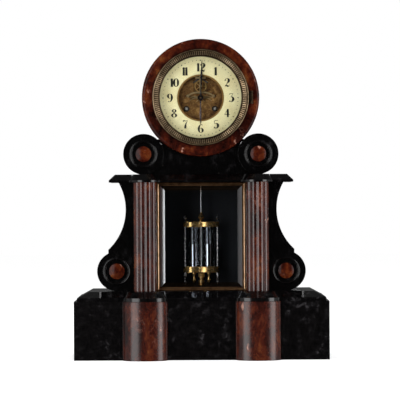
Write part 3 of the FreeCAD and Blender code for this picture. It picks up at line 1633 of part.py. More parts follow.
nodes = {
    "base_front": make_base_front(),
    "base_carcass": make_base_carcass(),
    "base_block_left": make_base_block(-1),
    "base_block_right": make_base_block(1),
    "base_cap": make_base_cap(),
    "console_left": mirrored_x(console_right),
    "console_right": console_right,
    "console_boss_left": mirrored_x(boss_right),
    "console_boss_right": boss_right,
    "pilaster_left": make_pilaster(-1),
    "pilaster_right": make_pilaster(1),
    "glass_frame": make_glass_frame(),
    "front_glass": make_front_glass(),
    "rear_door": make_rear_door(),
    "cornice": make_cornice(),
    "head_block": make_head_block(),
    "roll_left": make_roll(-1),
    "roll_right": make_roll(1),
    "roll_boss_left": make_dome(-roll_x, roll_z, roll_front),
    "roll_boss_right": make_dome(roll_x, roll_z, roll_front),
    "drum_shell": make_drum_shell(),
    "drum_ring": make_drum_ring(),
    "bezel_seat": make_bezel_seat(),
    "bezel": make_bezel(),
    "bezel_glass": make_bezel_glass(),
    "rear_ring": make_rear_ring(),
    "rear_cover": make_rear_cover(),
    "strap_screws": make_strap_screws(),
    "chapter_ring": make_chapter_ring(),
    "dial_centre": make_dial_centre(),
    "hour_hand": make_hour_hand(),
    "minute_hand": make_minute_hand(),
    "hand_collet": make_hand_collet(),
    "front_plate": make_front_plate(),
    "back_plate": make_back_plate(),
    "going_barrel": make_barrel(going_place, barrel_module, False, barrel_phase),
    "strike_barrel": make_barrel(strike_place, strike_barrel_module, True, 0),
    "going_arbor": make_winding_arbor(going_place),
    "strike_arbor": make_winding_arbor(strike_place),
    "intermediate_wheel": make_intermediate_wheel(),
    "centre_wheel": make_centre_wheel(),
    "third_wheel": make_third_wheel(),
    "escape_wheel": make_escape_wheel(),
    "cannon_pinion": make_cannon_pinion(),
    "minute_wheel": make_minute_wheel(),
    "hour_wheel": make_hour_wheel(),
    "anchor": make_anchor(),
    "escape_bridge": make_escape_bridge(),
    "crutch": make_crutch(),
    "suspension_cock": make_suspension_cock(),
    "suspension_spring": make_suspension_spring(),
    "pendulum_rod": make_pendulum_rod(),
    "bob_top_band": make_bob_top_band(),
    "bob_cradle": make_bob_cradle(),
    "vial_left": make_vial(-1),
    "vial_right": make_vial(1),
    "mercury": make_mercury(),
    "rating_nut": make_rating_nut(),
    "bell": make_bell(),
    "hammer": make_hammer(),
}

os.makedirs("parts", exist_ok=True)
for name, shape in nodes.items():
    shape.exportStep("parts/" + name + ".step")
    print(name, "solids", len(shape.Solids), "volume", round(shape.Volume), "valid", shape.isValid())
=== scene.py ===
import bpy
import bmesh
import json
import math
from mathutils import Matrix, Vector

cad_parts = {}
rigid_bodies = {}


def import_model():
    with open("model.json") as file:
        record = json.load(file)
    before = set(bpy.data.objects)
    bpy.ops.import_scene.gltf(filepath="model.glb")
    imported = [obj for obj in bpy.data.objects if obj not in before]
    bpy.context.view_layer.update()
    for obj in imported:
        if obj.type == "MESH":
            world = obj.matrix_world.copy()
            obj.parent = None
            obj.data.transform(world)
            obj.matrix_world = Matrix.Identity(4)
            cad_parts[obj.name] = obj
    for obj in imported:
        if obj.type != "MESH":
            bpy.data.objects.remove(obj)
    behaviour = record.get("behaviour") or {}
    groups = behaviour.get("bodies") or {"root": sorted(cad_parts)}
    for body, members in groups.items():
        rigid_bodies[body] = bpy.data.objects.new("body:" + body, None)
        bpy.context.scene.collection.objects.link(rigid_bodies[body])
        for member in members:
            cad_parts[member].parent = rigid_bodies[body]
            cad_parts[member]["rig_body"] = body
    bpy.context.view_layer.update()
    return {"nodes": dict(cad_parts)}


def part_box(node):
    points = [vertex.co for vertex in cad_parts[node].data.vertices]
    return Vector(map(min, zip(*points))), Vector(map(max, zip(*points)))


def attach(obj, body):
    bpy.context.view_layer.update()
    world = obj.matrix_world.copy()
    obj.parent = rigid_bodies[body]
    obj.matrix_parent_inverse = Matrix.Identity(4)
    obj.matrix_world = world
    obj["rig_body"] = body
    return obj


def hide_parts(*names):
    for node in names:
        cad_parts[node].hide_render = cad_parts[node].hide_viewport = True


# Portico mantel clock in slate and red marble. Metres; Z is up, the dial faces -Y.
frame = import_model()
nodes = frame["nodes"]
scene = bpy.context.scene
print("frame loaded:", len(nodes), "nodes")


# Node trees, for materials and for geometry

def nodeSum(operation, reflected=False):
    # an operator of the class below: it adds one Math node
    def method(self, other):
        return self.math(operation, other, self) if reflected else self.math(operation, self, other)
    return method


class Wire:
    # one socket of a node tree, so that a sum on it reads as plain maths
    def __init__(self, tree, socket=None):
        self.tree, self.socket = tree, socket

    def make(self, kind, sockets=None, out=0, **settings):
        # a node of any kind: its settings first, then the values or links of its sockets
        node = self.tree.nodes.new(kind)
        for key, value in settings.items():
            if key == "stops":
                fillRamp(node.color_ramp, value)
            else:
                setattr(node, key, value)
        for key, value in (sockets or {}).items():
            if isinstance(value, Wire):
                self.tree.links.new(value.socket, node.inputs[key])
            else:
                node.inputs[key].default_value = value
        return Wire(self.tree, node.outputs[out] if node.outputs else None)

    def math(self, operation, first, second):
        return self.make("ShaderNodeMath", {0: first, 1: second}, operation=operation)

    def vector(self, operation, sockets, out=0):
        return self.make("ShaderNodeVectorMath", sockets, out, operation=operation)

    def axis(self, letter):
        return self.make("ShaderNodeSeparateXYZ", {0: self}, letter)

    def magnitude(self):
        return self.math("ABSOLUTE", self, 0.0)

    __add__, __radd__ = nodeSum("ADD"), nodeSum("ADD", True)
    __sub__, __rsub__ = nodeSum("SUBTRACT"), nodeSum("SUBTRACT", True)
    __mul__, __rmul__ = nodeSum("MULTIPLY"), nodeSum("MULTIPLY", True)
    __gt__, __lt__ = nodeSum("GREATER_THAN"), nodeSum("LESS_THAN")


def fillRamp(ramp, stops):
    while len(ramp.elements) < len(stops):
        ramp.elements.new(1.0)
    for element, (place, colour) in zip(ramp.elements, stops):
        element.position = place
        element.color = (*colour, 1.0) if isinstance(colour, tuple) else (colour, colour, colour, 1.0)


def objectPlace(tree, scale, shift=(0, 0, 0)):
    place = tree.make("ShaderNodeTexCoord", out="Object")
    return tree.make("ShaderNodeMapping", {"Vector": place, "Scale": scale, "Location": shift})


def blank(name, scale=(1, 1, 1), shift=(0, 0, 0)):
    # a new material and its object coordinates
    material = bpy.data.materials.new(name)
    material.use_nodes = True
    material.node_tree.nodes.clear()
    return material, objectPlace(Wire(material.node_tree), scale, shift)


def noise(place, scale, detail, rough=0.55, twist=0.0, out=0):
    return place.make("ShaderNodeTexNoise", {
        "Vector": place, "Scale": scale, "Detail": detail, "Roughness": rough, "Distortion": twist,
    }, out)


def cells(place, scale, feature="F1", out="Distance"):
    return place.make("ShaderNodeTexVoronoi", {"Vector": place, "Scale": scale}, out, feature=feature)


def ramp(value, stops):
    return value.make("ShaderNodeValToRGB", {0: value}, stops=stops)


def level(value, low, high):
    # 0 below low, 1 above high
    return value.make("ShaderNodeMapRange", {"Value": value, "From Min": low, "From Max": high},
                      interpolation_type="SMOOTHSTEP")


def blendColour(factor, first, second):
    return factor.make("ShaderNodeMix", {0: factor, 6: first, 7: second}, 2, data_type="RGBA")


def drifted(place, amount, scale):
    # the same coordinates, pushed about by a soft noise
    drift = noise(place, scale, 2.0, out=1)
    away = place.vector("SUBTRACT", {0: drift, 1: (0.5, 0.5, 0.5)})
    return place.vector("ADD", {0: place, 1: place.vector("SCALE", {0: away, "Scale": amount})})


def bump(height, distance):
    return height.make("ShaderNodeBump", {"Distance": distance, "Height": height})


def finished(material, colour, rough, normal=None, metal=0.0, gloss=0.5, glow=None):
    # the material with its one shader; glow is a colour and a strength
    sockets = {"Base Color": colour, "Roughness": rough, "Metallic": metal, "Specular IOR Level": gloss}
    if normal is not None:
        sockets["Normal"] = normal
    if glow is not None:
        sockets["Emission Color"], sockets["Emission Strength"] = glow
    tree = Wire(material.node_tree)
    shader = tree.make("ShaderNodeBsdfPrincipled", sockets)
    tree.make("ShaderNodeOutputMaterial", {"Surface": shader})
    return material


# Stone

def redMarble(name, shift, warmth, shine, gloss, contrast, stretch=0.55, flecks=0.6):
    # deep oxblood with browner clouds, darker threads, pale shell flecks and a few thin wisps
    s = {"broad": 11.0, "cloud": 46.0, "mottle": 190.0, "fine": 520.0, "threads": 75.0, "flecks": 52.0, "wisps": 30.0,
         "wispPatches": 25.0, "threadWidth": 0.1, "threadDepth": 0.6, "fleckEdge": (0.07, 0.17), "fleckDepth": 0.75,
         "wispWidth": 0.01, "wispDepth": 0.45, "shineSpread": 0.12, "relief": 0.00004}
    shades = [(0.36, (0.0045, 0.001, 0.0006)), (0.45, (0.019, 0.0024, 0.0011)), (0.53, (0.043, 0.0054, 0.0018)),
              (0.61, (0.085, 0.016, 0.0038)), (0.72, (0.17, 0.054, 0.012))]
    threadColour, fleckColour, wispColour = (0.006, 0.002, 0.0018, 1), (0.4, 0.2, 0.145, 1), (0.24, 0.1, 0.07, 1)
    material, place = blank(name, (1.0, 1.0, stretch), shift)
    cloud = noise(drifted(place, 0.014, 60.0), s["cloud"], 7.0, 0.64, 0.5)
    mottle = noise(drifted(place, 0.004, 160.0), s["mottle"], 5.0, 0.7)
    fine = noise(place, s["fine"], 3.0, 0.6)
    broad = noise(place, s["broad"], 2.0)
    tone = cloud * 0.54 + mottle * 0.28 + fine * 0.08 + broad * 0.2 - 0.05
    stone = ramp((tone - 0.5) * contrast + 0.5 + warmth, shades)
    threads = cells(drifted(place, 0.03, 55.0), s["threads"], "DISTANCE_TO_EDGE")
    dark = (1 - level(threads, 0.0, s["threadWidth"])) * level(mottle, 0.44, 0.62)
    stone = blendColour(dark * s["threadDepth"], stone, threadColour)
    fleckPlace = drifted(drifted(place, 0.012, 120.0), 0.004, 420.0)
    fleckSize = cells(fleckPlace, s["flecks"])
    fleckPick = cells(fleckPlace, s["flecks"], out="Color")
    fleck = (1 - level(fleckSize, *s["fleckEdge"])) * level(fleckPick, flecks, flecks + 0.05)
    stone = blendColour(fleck * s["fleckDepth"], stone, fleckColour)
    wispNoise = noise(drifted(place, 0.02, 70.0), s["wisps"], 4.0, 0.6)
    wisp = 1 - level((wispNoise - 0.5).magnitude(), 0.0, s["wispWidth"])
    wisp = wisp * level(noise(place, s["wispPatches"], 2.0), 0.56, 0.66)
    stone = blendColour(wisp * s["wispDepth"], stone, wispColour)
    relief = bump(mottle * 0.6 + fleck * 0.4, s["relief"])
    return finished(material, stone, shine + s["shineSpread"] * mottle, relief, gloss=gloss)


def slate(name, shift, dust, depth):
    # polished black slate: blotchy bloom, light scuffs, a few pale spots and some dust
    s = {"cloud": 24.0, "bloom": 78.0, "grain": 420.0, "scuffs": 34.0, "spots": 70.0, "patches": 21.0,
         "scuffStretch": (9.0, 9.0, 1.2), "scuffDepth": 0.5, "spotEdge": (0.03, 0.09), "spotPick": (0.84, 0.88),
         "spotDepth": 0.7, "shine": 0.11, "relief": 0.00004}
    shades = [(0.38, (0.0012, 0.001, 0.0011)), (0.55, (0.0034, 0.0029, 0.0031)), (0.7, (0.011, 0.01, 0.0108))]
    dustColour, scuffColour, spotColour = (0.052, 0.048, 0.052, 1), (0.06, 0.056, 0.058, 1), (0.13, 0.115, 0.105, 1)
    material, place = blank(name, shift=shift)
    cloud = noise(drifted(place, 0.02, 30.0), s["cloud"], 6.0, 0.62)
    bloom = noise(drifted(place, 0.012, 70.0), s["bloom"], 8.0, 0.72)
    grain = noise(place, s["grain"], 4.0, 0.7)
    stone = ramp(bloom * 0.8 + grain * 0.2, [(at, tuple(depth * part for part in shade)) for at, shade in shades])
    dusty = level(bloom, 0.52, 0.7) * level(cloud, 0.44, 0.62) * dust
    stone = blendColour(dusty, stone, dustColour)
    scuffPlace = drifted(objectPlace(place, s["scuffStretch"], shift), 0.2, 8.0)
    scuff = level(noise(scuffPlace, s["scuffs"], 4.0, 0.8), 0.66, 0.74)
    scuff = scuff * level(noise(place, s["patches"], 3.0, 0.6), 0.58, 0.7)
    stone = blendColour(scuff * s["scuffDepth"], stone, scuffColour)
    spotPlace = drifted(place, 0.006, 200.0)
    spot = 1 - level(cells(spotPlace, s["spots"]), *s["spotEdge"])
    spot = spot * level(cells(spotPlace, s["spots"], out="Color"), *s["spotPick"])
    stone = blendColour(spot * s["spotDepth"], stone, spotColour)
    return finished(material, stone, s["shine"] + 0.08 * cloud + 0.12 * dusty + 0.16 * scuff,
                    bump(grain * 0.3 + bloom * 0.7, s["relief"]))


# Metals, enamel and glass

def agedBrass(name, bright, dull, shine, stain, grainScale=(1, 1, 1)):
    # brass that has browned in patches, with fine wipe marks
    s = {"cloud": 85.0, "wipe": 900.0, "speck": 620.0, "speckDepth": 0.6, "relief": 0.00002}
    material, place = blank(name)
    cloud = noise(drifted(place, 0.008, 90.0), s["cloud"], 6.0, 0.65)
    wipe = noise(objectPlace(place, grainScale), s["wipe"], 3.0, 0.6)
    speck = noise(place, s["speck"], 4.0, 0.7)
    toned = blendColour(level(cloud, 0.4, 0.68) * stain, (*bright, 1), (*dull, 1))
    spots = level(speck, 0.6, 0.72) * stain * s["speckDepth"]
    toned = blendColour(spots, toned, (dull[0] * 0.5, dull[1] * 0.45, dull[2] * 0.4, 1))
    return finished(material, toned, shine + 0.16 * cloud + 0.08 * wipe, bump(wipe * 0.5 + speck * 0.5, s["relief"]),
                    metal=1.0 - 0.12 * level(speck, 0.6, 0.75))


def bobMetal(name, bright, dull, pale):
    # polished brass bands; the turned columns at their ends are of pale steel
    s = {"columnsFrom": 0.0236, "cloud": 190.0, "stain": 0.6, "shine": 0.22, "relief": 0.00002}
    material, place = blank(name)
    height, column = place.axis("Z"), place.axis("X").magnitude() > s["columnsFrom"]
    for low, high in bobBands:
        column = column * (1 - (height > low) * (height < high))
    cloud = noise(drifted(place, 0.004, 150.0), s["cloud"], 5.0, 0.6)
    toned = blendColour(level(cloud, 0.42, 0.7) * s["stain"], (*bright, 1), (*dull, 1))
    toned = blendColour(column, toned, (*pale, 1))
    return finished(material, toned, s["shine"] + 0.1 * cloud, bump(cloud, s["relief"]), metal=1.0 - 0.08 * cloud)


def gilding(name, centreZ):
    # matt brown gilding of the sunk dial centre, with painted shade darkening it towards the recess wall; its rim is
    # a paler ochre ring
    s = {"rim": (0.034, 0.0346), "shade": (0.026, 0.034), "paintedShadeDepth": 0.6, "cloud": 110.0, "speck": 760.0,
         "turnedRings": 325.0, "ringTwist": 1.5, "relief": 0.00008}
    shades = [(0.38, (0.05, 0.02, 0.006)), (0.5, (0.205, 0.098, 0.026)), (0.62, (0.43, 0.25, 0.085))]
    paintedShadeColour, rimColour = (0.07, 0.028, 0.008, 1), (0.34, 0.19, 0.055, 1)
    material, place = blank(name)
    flat = objectPlace(place, (1.0, 0.0, 1.0), (0.0, 0.0, -centreZ))
    away = flat.vector("LENGTH", {0: flat}, "Value")
    cloud = noise(drifted(place, 0.006, 120.0), s["cloud"], 6.0, 0.68, 0.6)
    speck = noise(place, s["speck"], 4.0, 0.7)
    toned = ramp(cloud * 0.7 + speck * 0.3, shades)
    # painted shade: darker towards the recess wall, where the wall's shadow falls
    toned = blendColour(level(away, *s["shade"]) * s["paintedShadeDepth"], toned, paintedShadeColour)
    toned = blendColour(level(away, *s["rim"]), toned, rimColour)
    turned = away.make("ShaderNodeTexWave", {"Vector": flat, "Scale": s["turnedRings"], "Distortion": s["ringTwist"]},
                       wave_type="RINGS", rings_direction="Y")
    return finished(material, toned, 0.38 + 0.18 * cloud, bump(cloud * 0.6 + speck * 0.3 + turned * 0.1, s["relief"]),
                    metal=0.42 + 0.25 * speck)


def rodMetal(name, knopLow, knopHigh, brass, pale):
    # a steel rod with its turned brass knop
    s = {"cloud": 260.0, "stain": 0.5, "shine": 0.16, "relief": 0.00001}
    stainColour = (0.16, 0.11, 0.06, 1)
    material, place = blank(name)
    height = place.axis("Z")
    cloud = noise(place, s["cloud"], 4.0, 0.6)
    toned = blendColour((height > knopLow) * (height < knopHigh), (*pale, 1), (*brass, 1))
    toned = blendColour(level(cloud, 0.45, 0.7) * s["stain"], toned, stainColour)
    return finished(material, toned, s["shine"] + 0.12 * cloud, bump(cloud, s["relief"]), metal=1.0 - 0.1 * cloud)


def steel(name, light, dark, shine, metal=0.97):
    s = {"cloud": 160.0, "grain": 1100.0, "grainStretch": (1, 1, 6), "relief": 0.00001}
    material, place = blank(name)
    cloud = noise(place, s["cloud"], 5.0, 0.6)
    grain = noise(objectPlace(place, s["grainStretch"]), s["grain"], 3.0, 0.6)
    toned = blendColour(level(cloud, 0.38, 0.66), (*light, 1), (*dark, 1))
    return finished(material, toned, shine + 0.12 * grain, bump(grain, s["relief"]),
                    metal=metal - 0.1 * level(cloud, 0.62, 0.72))


def enamel(name):
    # cream enamel with faint crazing
    s = {"cloud": 45.0, "craze": 120.0, "crazeWidth": 0.012, "crazeDepth": 0.28, "crazePatches": 60.0,
         "relief": 0.00015, "gloss": 0.4}
    shades, crazeColour = [(0.35, (0.8, 0.725, 0.42)), (0.65, (0.88, 0.83, 0.53))], (0.3, 0.24, 0.12, 1)
    material, place = blank(name)
    cloud = noise(place, s["cloud"], 4.0, 0.6)
    craze = cells(drifted(place, 0.006, 130.0), s["craze"], "DISTANCE_TO_EDGE")
    line = (1 - level(craze, 0.0, s["crazeWidth"])) * level(noise(place, s["crazePatches"], 2.0), 0.5, 0.62)
    toned = blendColour(line * s["crazeDepth"], ramp(cloud, shades), crazeColour)
    return finished(material, toned, 0.2 + 0.12 * cloud, bump(cloud, s["relief"]), gloss=s["gloss"])


def paint(name, colour):
    # dark paint, worn paler in places
    s = {"wear": 520.0, "wearDepth": 0.5, "paler": (3.0, 3.0, 2.4)}
    material, place = blank(name)
    wearNoise = noise(place, s["wear"], 4.0, 0.65)
    worn = (*(part * more for part, more in zip(colour, s["paler"])), 1)
    toned = blendColour(level(wearNoise, 0.55, 0.75) * s["wearDepth"], (*colour, 1), worn)
    return finished(material, toned, 0.32 + 0.2 * wearNoise)


def iron(name):
    # black japanned iron, rusting a little
    s = {"cloud": 60.0, "grit": 700.0, "relief": 0.00012}
    shades = [(0.38, (0.003, 0.0032, 0.0042)), (0.6, (0.0075, 0.0078, 0.0095)), (0.74, (0.022, 0.017, 0.014))]
    material, place = blank(name)
    cloud = noise(place, s["cloud"], 6.0, 0.65)
    grit = noise(place, s["grit"], 4.0, 0.7)
    return finished(material, ramp(cloud * 0.6 + grit * 0.4, shades), 0.5 + 0.2 * grit, bump(grit, s["relief"]),
                    metal=0.1 + 0.2 * cloud)


def glass(name, tint, shine, strength, sheen=(0.94, 0.97, 1.0)):
    # clear glass: it lets the view through and mirrors what lies aslant; a little dust dulls it
    s = {"dust": 75.0, "dustDepth": 0.008, "index": 1.5}
    material, place = blank(name)
    dust = level(noise(place, s["dust"], 6.0, 0.7), 0.55, 0.8)
    clear = place.make("ShaderNodeBsdfTransparent", {"Color": (*tint, 1)})
    mirror = place.make("ShaderNodeBsdfGlossy", {"Color": (*sheen, 1), "Roughness": shine})
    edge = place.make("ShaderNodeFresnel", {"IOR": s["index"]})
    both = place.make("ShaderNodeMixShader", {0: edge * strength + dust * s["dustDepth"], 1: clear, 2: mirror})
    place.make("ShaderNodeOutputMaterial", {"Surface": both})
    return material


def quicksilver(name):
    s = {"film": 190.0, "filmDepth": 0.4, "shine": 0.02}
    bright, filmed = (0.62, 0.62, 0.63, 1), (0.44, 0.44, 0.45, 1)
    material, place = blank(name)
    film = noise(place, s["film"], 4.0, 0.6)
    toned = blendColour(level(film, 0.5, 0.75) * s["filmDepth"], bright, filmed)
    return finished(material, toned, s["shine"] + 0.05 * film, metal=1.0)


dialLow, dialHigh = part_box("chapter_ring")
dialFront, dialZ = dialLow.y, (dialLow.z + dialHigh.z) / 2
upperBand = tuple(corner.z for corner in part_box("bob_top_band"))
lowerDrop = (0.0729, 0.0632)  # how far the lower band's bottom and top lie under the upper band
bobBands = [(upperBand[0] - lowerDrop[0], upperBand[0] - lowerDrop[1]), upperBand]  # each is (bottom, top)
blockMarble = redMarble("blockMarble", (0.013, 0.0, 0.021), -0.008, shine=0.17, gloss=0.48, contrast=1.15)
pilasterMarble = redMarble("pilasterMarble", (0.071, 0.02, 0.0), 0.03, shine=0.14, gloss=0.66, contrast=1.2)
ringMarble = redMarble("ringMarble", (0.31, 0.04, 0.12), 0.0, shine=0.16, stretch=0.8, flecks=0.28, gloss=0.14,
                       contrast=1.3)
bossMarble = redMarble("bossMarble", (0.52, 0.11, 0.33), 0.028, shine=0.12, stretch=1.0, flecks=0.5, gloss=0.14,
                       contrast=1.25)
baseSlate = slate("baseSlate", (0.2, 0.0, 0.1), dust=0.62, depth=0.9)
caseSlate = slate("caseSlate", (0.9, 0.3, 0.5), dust=0.2, depth=0.42)
frameBrass = agedBrass("frameBrass", (0.8, 0.52, 0.3), (0.34, 0.16, 0.07), 0.22, 0.5)
# painted shade: a darker copy of the frame brass, for the frame's level strips and all inside its bead
frameBrassPaintedShade = agedBrass("frameBrassPaintedShade", (0.3, 0.165, 0.08), (0.09, 0.042, 0.02), 0.28, 0.7)
bezelBrass = agedBrass("bezelBrass", (0.56, 0.41, 0.25), (0.17, 0.115, 0.065), 0.24, 0.7)
# painted shade: a near-black copy of the bezel's brass, for the turned ring, its seat and the hinge knuckle
bezelPaintedShade = agedBrass("bezelPaintedShade", (0.07, 0.048, 0.028), (0.024, 0.016, 0.01), 0.34, 0.9)
clockBrass = agedBrass("clockBrass", (0.98, 0.66, 0.26), (0.62, 0.33, 0.1), 0.26, 0.3)
bobBrass = bobMetal("bobBrass", (0.98, 0.62, 0.22), (0.6, 0.27, 0.07), (0.5, 0.46, 0.42))
plateBrass = agedBrass("plateBrass", (0.72, 0.5, 0.24), (0.4, 0.26, 0.12), 0.24, 0.6, (1, 1, 8))
bridgeBrass = agedBrass("bridgeBrass", (0.84, 0.66, 0.38), (0.5, 0.33, 0.15), 0.26, 0.4)
dialGilding = gilding("dialGilding", dialZ)
brightSteel = steel("brightSteel", (0.62, 0.62, 0.62), (0.36, 0.35, 0.34), 0.18)
blueSteel = steel("blueSteel", (0.016, 0.015, 0.018), (0.007, 0.0065, 0.008), 0.26)
squareSteel = steel("squareSteel", (0.42, 0.41, 0.39), (0.22, 0.215, 0.2), 0.4, 0.55)
hourSteel = steel("hourSteel", (0.075, 0.058, 0.062), (0.03, 0.024, 0.026), 0.3)
pendulumRod = rodMetal("pendulumRod", 0.2125, 0.2285, (0.8, 0.48, 0.18), (0.6, 0.58, 0.55))
dialEnamel = enamel("dialEnamel")
dialPaint = paint("dialPaint", (0.01, 0.011, 0.007))
# painted shade: near-black paint for the collars that stand for the dark winding holes
holeShadePaint = paint("holeShadePaint", (0.004, 0.004, 0.005))
blackIron = iron("blackIron")
plateGlass = glass("plateGlass", (0.94, 0.96, 0.99), 0.02, 0.4)
groundGlass = glass("groundGlass", (0.8, 0.84, 0.92), 0.36, 22.0)
# painted reflection: glass tinted and mirroring brown, for the frame strips that the level bevels mirror
bevelPaintedReflection = glass("bevelPaintedReflection", (0.62, 0.5, 0.4), 0.24, 3.0, (0.6, 0.36, 0.2))
bezelClear = glass("bezelClear", (0.99, 0.99, 0.97), 0.01, 0.3)
vialGlass = glass("vialGlass", (0.985, 0.985, 0.985), 0.02, 1.3)
mercuryShine = quicksilver("mercuryShine")
print("materials made:", len(bpy.data.materials))


# Pieces

def held(name, data):
    # a new object in the scene
    made = bpy.data.objects.new(name, data)
    scene.collection.objects.link(made)
    return made


def wear(piece, material):
    piece.data.materials.clear()
    piece.data.materials.append(material)


def shadeByAngle(mesh, degrees):
    mesh.polygons.foreach_set("use_smooth", [True] * len(mesh.polygons))
    mesh.set_sharp_from_angle(angle=math.radians(degrees))


def addPiece(name, mesh, material, body, slot, replaced=(), smooth=32.0):
    piece = held(name, mesh)
    wear(piece, material)
    if smooth is not None:
        shadeByAngle(mesh, smooth)
    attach(piece, body)
    if replaced:
        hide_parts(*replaced)


def meshOf(name, points, faces):
    mesh = bpy.data.meshes.new(name)
    mesh.from_pydata(points, [], faces)
    mesh.update()
    return mesh


def reshaped(mesh, work):
    # hands the mesh to work in its editable form
    shape = bmesh.new()
    shape.from_mesh(mesh)
    work(shape)
    shape.to_mesh(mesh)
    shape.free()
    return mesh


def turnedOut(mesh):
    # every face looks outwards
    return reshaped(mesh, lambda shape: bmesh.ops.recalc_face_normals(shape, faces=shape.faces))


def skin(rows, width, start=0, closed=False):
    # quads between rows of points; each row closes on itself, and the last meets the first when closed
    faces = []
    for k in range(rows if closed else rows - 1):
        a, b = start + k * width, start + (k + 1) % rows * width
        faces += [(a + i, a + (i + 1) % width, b + (i + 1) % width, b + i) for i in range(width)]
    return faces


def solidPiece(name, points, faces, *finish):
    # a piece of plain points and faces; finish is what addPiece takes after the mesh
    mesh = turnedOut(meshOf(name, points, faces))
    addPiece(name, mesh, *finish)
    return mesh


def takeIn(points, faces, mesh):
    # adds a whole mesh to the two lists
    offset = len(points)
    points += [v.co[:] for v in mesh.vertices]
    faces += [tuple(offset + i for i in p.vertices) for p in mesh.polygons]
    bpy.data.meshes.remove(mesh)


def settled(holder):
    # the object's mesh with its modifiers worked in; the object itself goes
    bpy.context.view_layer.update()
    mesh = bpy.data.meshes.new_from_object(holder.evaluated_get(bpy.context.evaluated_depsgraph_get()))
    bpy.data.objects.remove(holder)
    return mesh


def easedCopy(node, material, slot, width, segments):
    # a CAD node's shape with its sharp edges rubbed down
    s = {"weld": 1e-6, "flat": 0.5, "sharp": 32.0}  # metres, degrees, degrees
    source, name = nodes[node], pieceNames.get(node, node + "Stone")

    def joined(shape):
        bmesh.ops.remove_doubles(shape, verts=shape.verts, dist=s["weld"])
        bmesh.ops.dissolve_limit(shape, angle_limit=math.radians(s["flat"]), verts=shape.verts, edges=shape.edges)

    points, faces = [v.co[:] for v in source.data.vertices], [p.vertices[:] for p in source.data.polygons]
    mesh = reshaped(meshOf(name, points, faces), joined)
    shadeByAngle(mesh, s["sharp"])
    holder = held(name + "Holder", mesh)
    rub = holder.modifiers.new("rub", "BEVEL")
    rub.harden_normals = True
    rub.width = width
    rub.segments = segments
    rub.limit_method = "ANGLE"
    rub.angle_limit = math.radians(s["sharp"])
    rubbed = settled(holder)
    rubbed.name = name
    addPiece(name, rubbed, material, source["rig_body"], slot, (node,), None)


def lathed(name, profile, centre, axis, turns):
    # turns a closed outline of (radius, place on the axis) about the axis
    points = []
    for k in range(turns):
        angle = 2 * math.pi * k / turns
        for radius, along in profile:
            a, b = radius * math.cos(angle), radius * math.sin(angle)
            points.append((centre[0] + a, along, centre[2] + b) if axis == "Y" else
                          (centre[0] + a, centre[1] + b, along))
    return turnedOut(meshOf(name, points, skin(turns, len(profile), closed=True)))


def roundTo(start, end, bulge, steps):
    # points of a curved stretch between two profile points; bulge is how far its middle stands off
    (a, b), (c, d) = start, end
    length = math.hypot(c - a, d - b)
    out = ((d - b) / length, (a - c) / length)
    made = []
    for k in range(1, steps):
        t = k / steps
        rise = bulge * math.sin(math.pi * t)
        made.append((a + (c - a) * t + out[0] * rise, b + (d - b) * t + out[1] * rise))
    return made


# The other pieces of stone are called after their nodes
pieceNames = {"base_front": "baseFrontStone", "base_cap": "baseCapStone", "drum_ring": "drumRingStone"}
edges = {"slab": (0.0006, 2), "moulding": (0.0012, 3), "block": (0.0009, 2), "reed": (0.0005, 2)}  # width, steps
stones = {
    "base_front": (baseSlate, "slate", edges["slab"]),
    "base_cap": (baseSlate, "slate", edges["moulding"]),
    "cornice": (caseSlate, "slate", edges["moulding"]),
    "console_left": (caseSlate, "slate", edges["slab"]),
    "console_right": (caseSlate, "slate", edges["slab"]),
    "head_block": (caseSlate, "slate", edges["slab"]),
    "roll_left": (caseSlate, "slate", edges["slab"]),
    "roll_right": (caseSlate, "slate", edges["slab"]),
    "drum_shell": (caseSlate, "slate", edges["slab"]),
    "base_block_left": (blockMarble, "red_marble", edges["block"]),
    "base_block_right": (blockMarble, "red_marble", edges["block"]),
    "pilaster_left": (pilasterMarble, "red_marble", edges["reed"]),
    "pilaster_right": (pilasterMarble, "red_marble", edges["reed"]),
    "drum_ring": (ringMarble, "red_marble", edges["reed"]),
}
for node, (material, slot, edge) in stones.items():
    easedCopy(node, material, slot, *edge)
print("stone done")


# Brass frame of the front glass

def framed(outline, low, high):
    # carries each (inset, depth) of an outline round the four corners of an upright rectangle
    points = []
    for inset, depth in outline:
        points += [(low.x + inset, depth, low.z + inset), (high.x - inset, depth, low.z + inset),
                   (high.x - inset, depth, high.z - inset), (low.x + inset, depth, high.z - inset)]
    return points


def mouldedFrame():
    # mitred strips: a full bead, a groove, and a fillet beside the glass; painted shade darkens the level strips and
    # all inside the bead
    s = {"steps": 9, "width": 0.0057, "bead": 0.0036, "crown": 0.0018, "groove": 0.0004, "grooveDepth": 0.003,
         "filletDepth": 0.002, "rebate": 0.0014, "sharp": 40}
    low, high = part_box("glass_frame")
    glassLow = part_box("front_glass")[0]
    foot, fillet = low.y + s["crown"], s["bead"] + s["groove"]
    outline = [(0.0, high.y), (0.0, foot)] + roundTo((0.0, foot), (s["bead"], foot), s["crown"], s["steps"])
    outline += [(s["bead"], foot), (s["bead"], low.y + s["grooveDepth"]), (fillet, low.y + s["grooveDepth"]),
                (fillet, low.y + s["filletDepth"]), (s["width"], low.y + s["filletDepth"]),
                (s["width"], glassLow.y + s["rebate"]), (glassLow.x - low.x, high.y)]
    faces = skin(len(outline), 4, closed=True)
    mesh = solidPiece("glassFrameMoulded", framed(outline, low, high), faces, frameBrass, "case", "brass",
                      ("glass_frame",), s["sharp"])
    mesh.materials.append(frameBrassPaintedShade)  # painted shade: a darker brass for the level strips, and all that lies inside the bead
    paintedShadeFaces = [1 if k % 4 in (0, 2) or k // 4 > s["steps"] else 0 for k in range(len(faces))]
    mesh.polygons.foreach_set("material_index", paintedShadeFaces)


mouldedFrame()


